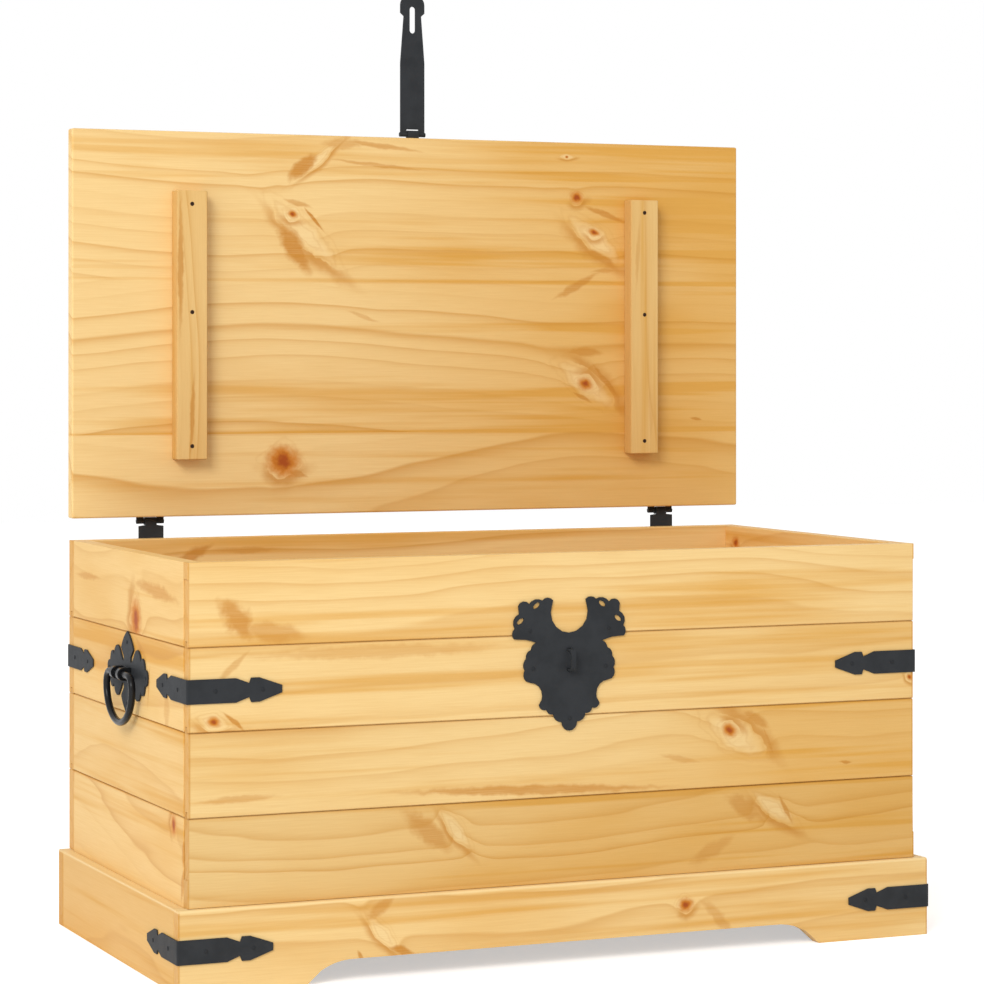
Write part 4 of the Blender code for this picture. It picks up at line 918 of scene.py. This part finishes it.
class CHEST_OT_lid(ChestOperator, bpy.types.Operator):
    """Builds the lid panel and its battens"""

    bl_idname = "chest.lid"
    bl_label = "Lid"

    def execute(self, context):
        wood = context.scene.chest_wood
        panel = pine(
            "Pine lid_panel", "XZY", seed=83.0, pith=(0.45, 0.40), ring_gap=0.018, wander=0.06,
            knots=LID_KNOTS, flecks=LID_FLECKS, glue_lines=LID_GLUE_LINES, warm=(-0.42, 0.36, 0.60),
            cool=0.35, tint=0.985)
        eased("lid_panel", panel, wood.edge, clamp=False)
        for index, side in enumerate(SIDES):
            node = "lid_batten_" + side
            low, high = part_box(node)
            # The joint mark paints shade over each batten's two side faces and along their edges
            batten = pine(
                "Pine " + node, "ZXY", seed=95.0 + index * 4.7, pith=(0.33, 0.22), ring_gap=0.016,
                flecks=BATTEN_FLECKS[side], tint=0.93, warm=evenly_warm(0.3), edges=(low.x, high.x), joint_shade=0.8)
            eased(node, batten, wood.edge)
        return {"FINISHED"}


class CHEST_OT_screws(ChestOperator, bpy.types.Operator):
    """Builds the cross-head screws of the lid battens"""

    bl_idname = "chest.screws"
    bl_label = "Batten Screws"

    def execute(self, context):
        steel = bpy.data.materials["Screw steel"]
        for side in SIDES:
            for number in (1, 2, 3):
                node = f"batten_screw_{side}_{number}"
                low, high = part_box(node)
                bm = screw_mesh((high.x - low.x) / 2, high.y - low.y)
                middle = ((low.x + high.x) / 2, low.y, (low.z + high.z) / 2)
                bmesh.ops.translate(bm, verts=bm.verts, vec=middle)
                piece = add_piece(node + "_turned", bm, steel, body_of(node))
                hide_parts(node)
        return {"FINISHED"}


class CHEST_OT_fittings(ChestOperator, bpy.types.Operator):
    """Builds the hinges, hasp, lock plate, staple, corner straps, handle plates and their loops"""

    bl_idname = "chest.fittings"
    bl_label = "Iron Fittings"

    def execute(self, context):
        edge = context.scene.chest_iron.edge
        nodes = ["hasp_lid_plate", "hasp", "lock_plate", "lock_staple"]
        nodes += [f"{fitting}_{side}" for fitting in (
            "hinge_lid_leaf", "hinge_body_leaf", "corner_strap_body_front", "corner_strap_body_back",
            "corner_strap_plinth_front", "handle_plate", "handle_loops") for side in SIDES]
        for node in nodes:
            finish = "Handle iron" if node.startswith("handle_loops") else "Forged iron"
            share = 0.5 if node.startswith("handle_plate") else 1.0
            eased(node, bpy.data.materials[finish], edge * share, clamp=False)
        return {"FINISHED"}


class CHEST_OT_rings(ChestOperator, bpy.types.Operator):
    """Builds the two handle rings"""

    bl_idname = "chest.rings"
    bl_label = "Handle Rings"

    def execute(self, context):
        for side in SIDES:
            node = "handle_ring_" + side
            low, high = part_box(node)
            bm = ring_mesh((low.x + high.x) / 2, HANDLE_Y, HANDLE_HEIGHT)
            piece = add_piece(node + "_forged", bm, bpy.data.materials["Handle iron"], "ring_" + side)
            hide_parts(node)
        return {"FINISHED"}


class CHEST_OT_nails(ChestOperator, bpy.types.Operator):
    """Drives the nails of every fitting"""

    bl_idname = "chest.nails"
    bl_label = "Nails"

    def execute(self, context):
        for place in ("body_front", "body_back", "plinth_front"):
            for side, sign in zip(SIDES, (-1, 1)):
                node = f"corner_strap_{place}_{side}"
                low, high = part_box(node)
                out = -1 if place.endswith("front") else 1
                x = low.x if sign < 0 else high.x
                y = low.y if out < 0 else high.y
                z = (low.z + high.z) / 2
                places = []
                for reach in STRAP_NAIL_REACHES:
                    along = STRAP_SHEET + GAP + reach
                    places.append(((x - sign * along, y, z), (0, out, 0)))
                    places.append(((x, y - out * along, z), (sign, 0, 0)))
                nails("nails_" + node, "chest", places)
        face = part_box("lock_plate")[0].y
        nails("nails_lock_plate", "chest", [((x, face, z), (0, -1, 0)) for x, z in LOCK_PLATE_NAILS])
        for side, sign in zip(SIDES, (-1, 1)):
            face = sign * (BODY_HALF_WIDTH + GAP + IRON_SHEET)
            nails("nails_handle_plate_" + side, "chest",
                  [((face, HANDLE_Y + u, HANDLE_HEIGHT + v), (sign, 0, 0)) for u, v in HANDLE_NAILS])
            for leaf, body, y, heights in (("body", "chest", BODY_LEAF_FACE, BODY_LEAF_NAIL_HEIGHTS),
                                           ("lid", "lid", LID_LEAF_FACE, LID_LEAF_NAIL_HEIGHTS)):
                nails(f"nails_hinge_{leaf}_leaf_{side}", body,
                      [((sign * HINGE_X, y, z), (0, 1, 0)) for z in heights])
        nails("nails_hasp_plate", "lid",
              [((0.0, LID_LEAF_FACE, z), (0, 1, 0)) for z in HASP_PLATE_NAIL_HEIGHTS])
        return {"FINISHED"}


class CHEST_OT_stage(ChestOperator, bpy.types.Operator):
    """Sets up the pale floor, the soft light and the camera"""

    bl_idname = "chest.stage"
    bl_label = "Stage"

    def execute(self, context):
        scene = context.scene
        stage = scene.chest_stage
        scene.view_settings.view_transform = "Standard"
        self.add_floor(stage)
        world = bpy.data.worlds.new("Studio")
        scene.world = world
        world.use_nodes = True
        graph = Graph(world.node_tree)
        light = world.node_tree.nodes["Background"]
        graph.put(light.inputs["Color"], WHITE)
        strength = graph.ramp(self.seen(graph), 0.0, 1.0, stage.daylight, 1.0, smooth=False)
        graph.put(light.inputs["Strength"], strength)
        self.add_lamp(scene, "key lamp", *KEY_LAMP, stage.key_strength)
        self.add_lamp(scene, "fill lamp", *FILL_LAMP, stage.fill_strength)
        self.add_camera(scene, stage)
        return {"FINISHED"}

    def seen(self, graph):
        """1 for a ray from the camera, a mirror or glass, and 0 for the light on the chest."""
        rays = graph.add("ShaderNodeLightPath").outputs
        mirrored = graph.math("MAXIMUM", rays["Is Glossy Ray"], rays["Is Transmission Ray"])
        return graph.math("MAXIMUM", rays["Is Camera Ray"], mirrored)

    def add_floor(self, stage):
        bm = bmesh.new()
        bmesh.ops.create_grid(bm, x_segments=8, y_segments=8, size=FLOOR_HALF_SIZE)
        floor = add_object("floor", bm)
        made, graph, shader = start_material("Pale floor")
        shader.inputs["Base Color"].default_value = colour(stage.floor)
        shader.inputs["Roughness"].default_value = 0.9
        shader.inputs["Emission Color"].default_value = WHITE
        graph.put(shader.inputs["Emission Strength"], graph.times(self.seen(graph), stage.floor_lift))
        floor.data.materials.append(made)

    def add_lamp(self, scene, name, place, aim, size, power):
        lamp = bpy.data.lights.new(name, "AREA")
        lamp.energy = power
        lamp.size = size
        item = bpy.data.objects.new(name, lamp)
        item.location = place
        item.rotation_euler = (Vector(aim) - Vector(place)).to_track_quat("-Z", "Y").to_euler()
        scene.collection.objects.link(item)

    def add_camera(self, scene, stage):
        data = bpy.data.cameras.new("camera")
        data.sensor_width = SENSOR_WIDTH
        data.lens = stage.lens
        data.shift_x, data.shift_y = CAMERA_SHIFT
        camera = bpy.data.objects.new("camera", data)
        camera.location = CAMERA_PLACE
        camera.rotation_euler = [math.radians(angle) for angle in CAMERA_ANGLES]
        scene.collection.objects.link(camera)
        scene.camera = camera


OPERATORS = (CHEST_OT_finishes, CHEST_OT_walls, CHEST_OT_plinth, CHEST_OT_bottom, CHEST_OT_lid,
             CHEST_OT_screws, CHEST_OT_fittings, CHEST_OT_rings, CHEST_OT_nails, CHEST_OT_stage)


class CHEST_PT_sidebar(bpy.types.Panel):
    """Lists the chest's settings and the steps that build it"""

    bl_idname = "CHEST_PT_sidebar"
    bl_label = "Storage Chest"
    bl_space_type = "VIEW_3D"
    bl_region_type = "UI"
    bl_category = "Chest"

    def draw(self, context):
        scene = context.scene
        groups = {"Wood": scene.chest_wood, "Iron": scene.chest_iron, "Stage": scene.chest_stage}
        for title, group in groups.items():
            box = self.layout.box()
            box.label(text=title)
            for name in group.__annotations__:
                box.prop(group, name)
        column = self.layout.column(align=True)
        for operator in OPERATORS:
            column.operator(operator.bl_idname)


CLASSES = (ChestWood, ChestIron, ChestStage, *OPERATORS, CHEST_PT_sidebar)


def register():
    for item in CLASSES:
        bpy.utils.register_class(item)
    bpy.types.Scene.chest_wood = PointerProperty(type=ChestWood)
    bpy.types.Scene.chest_iron = PointerProperty(type=ChestIron)
    bpy.types.Scene.chest_stage = PointerProperty(type=ChestStage)


def unregister():
    del bpy.types.Scene.chest_stage
    del bpy.types.Scene.chest_iron
    del bpy.types.Scene.chest_wood
    for item in reversed(CLASSES):
        bpy.utils.unregister_class(item)


def main():
    register()
    for operator in OPERATORS:
        getattr(bpy.ops.chest, operator.bl_idname.removeprefix("chest."))()


if __name__ == "__main__":
    main()
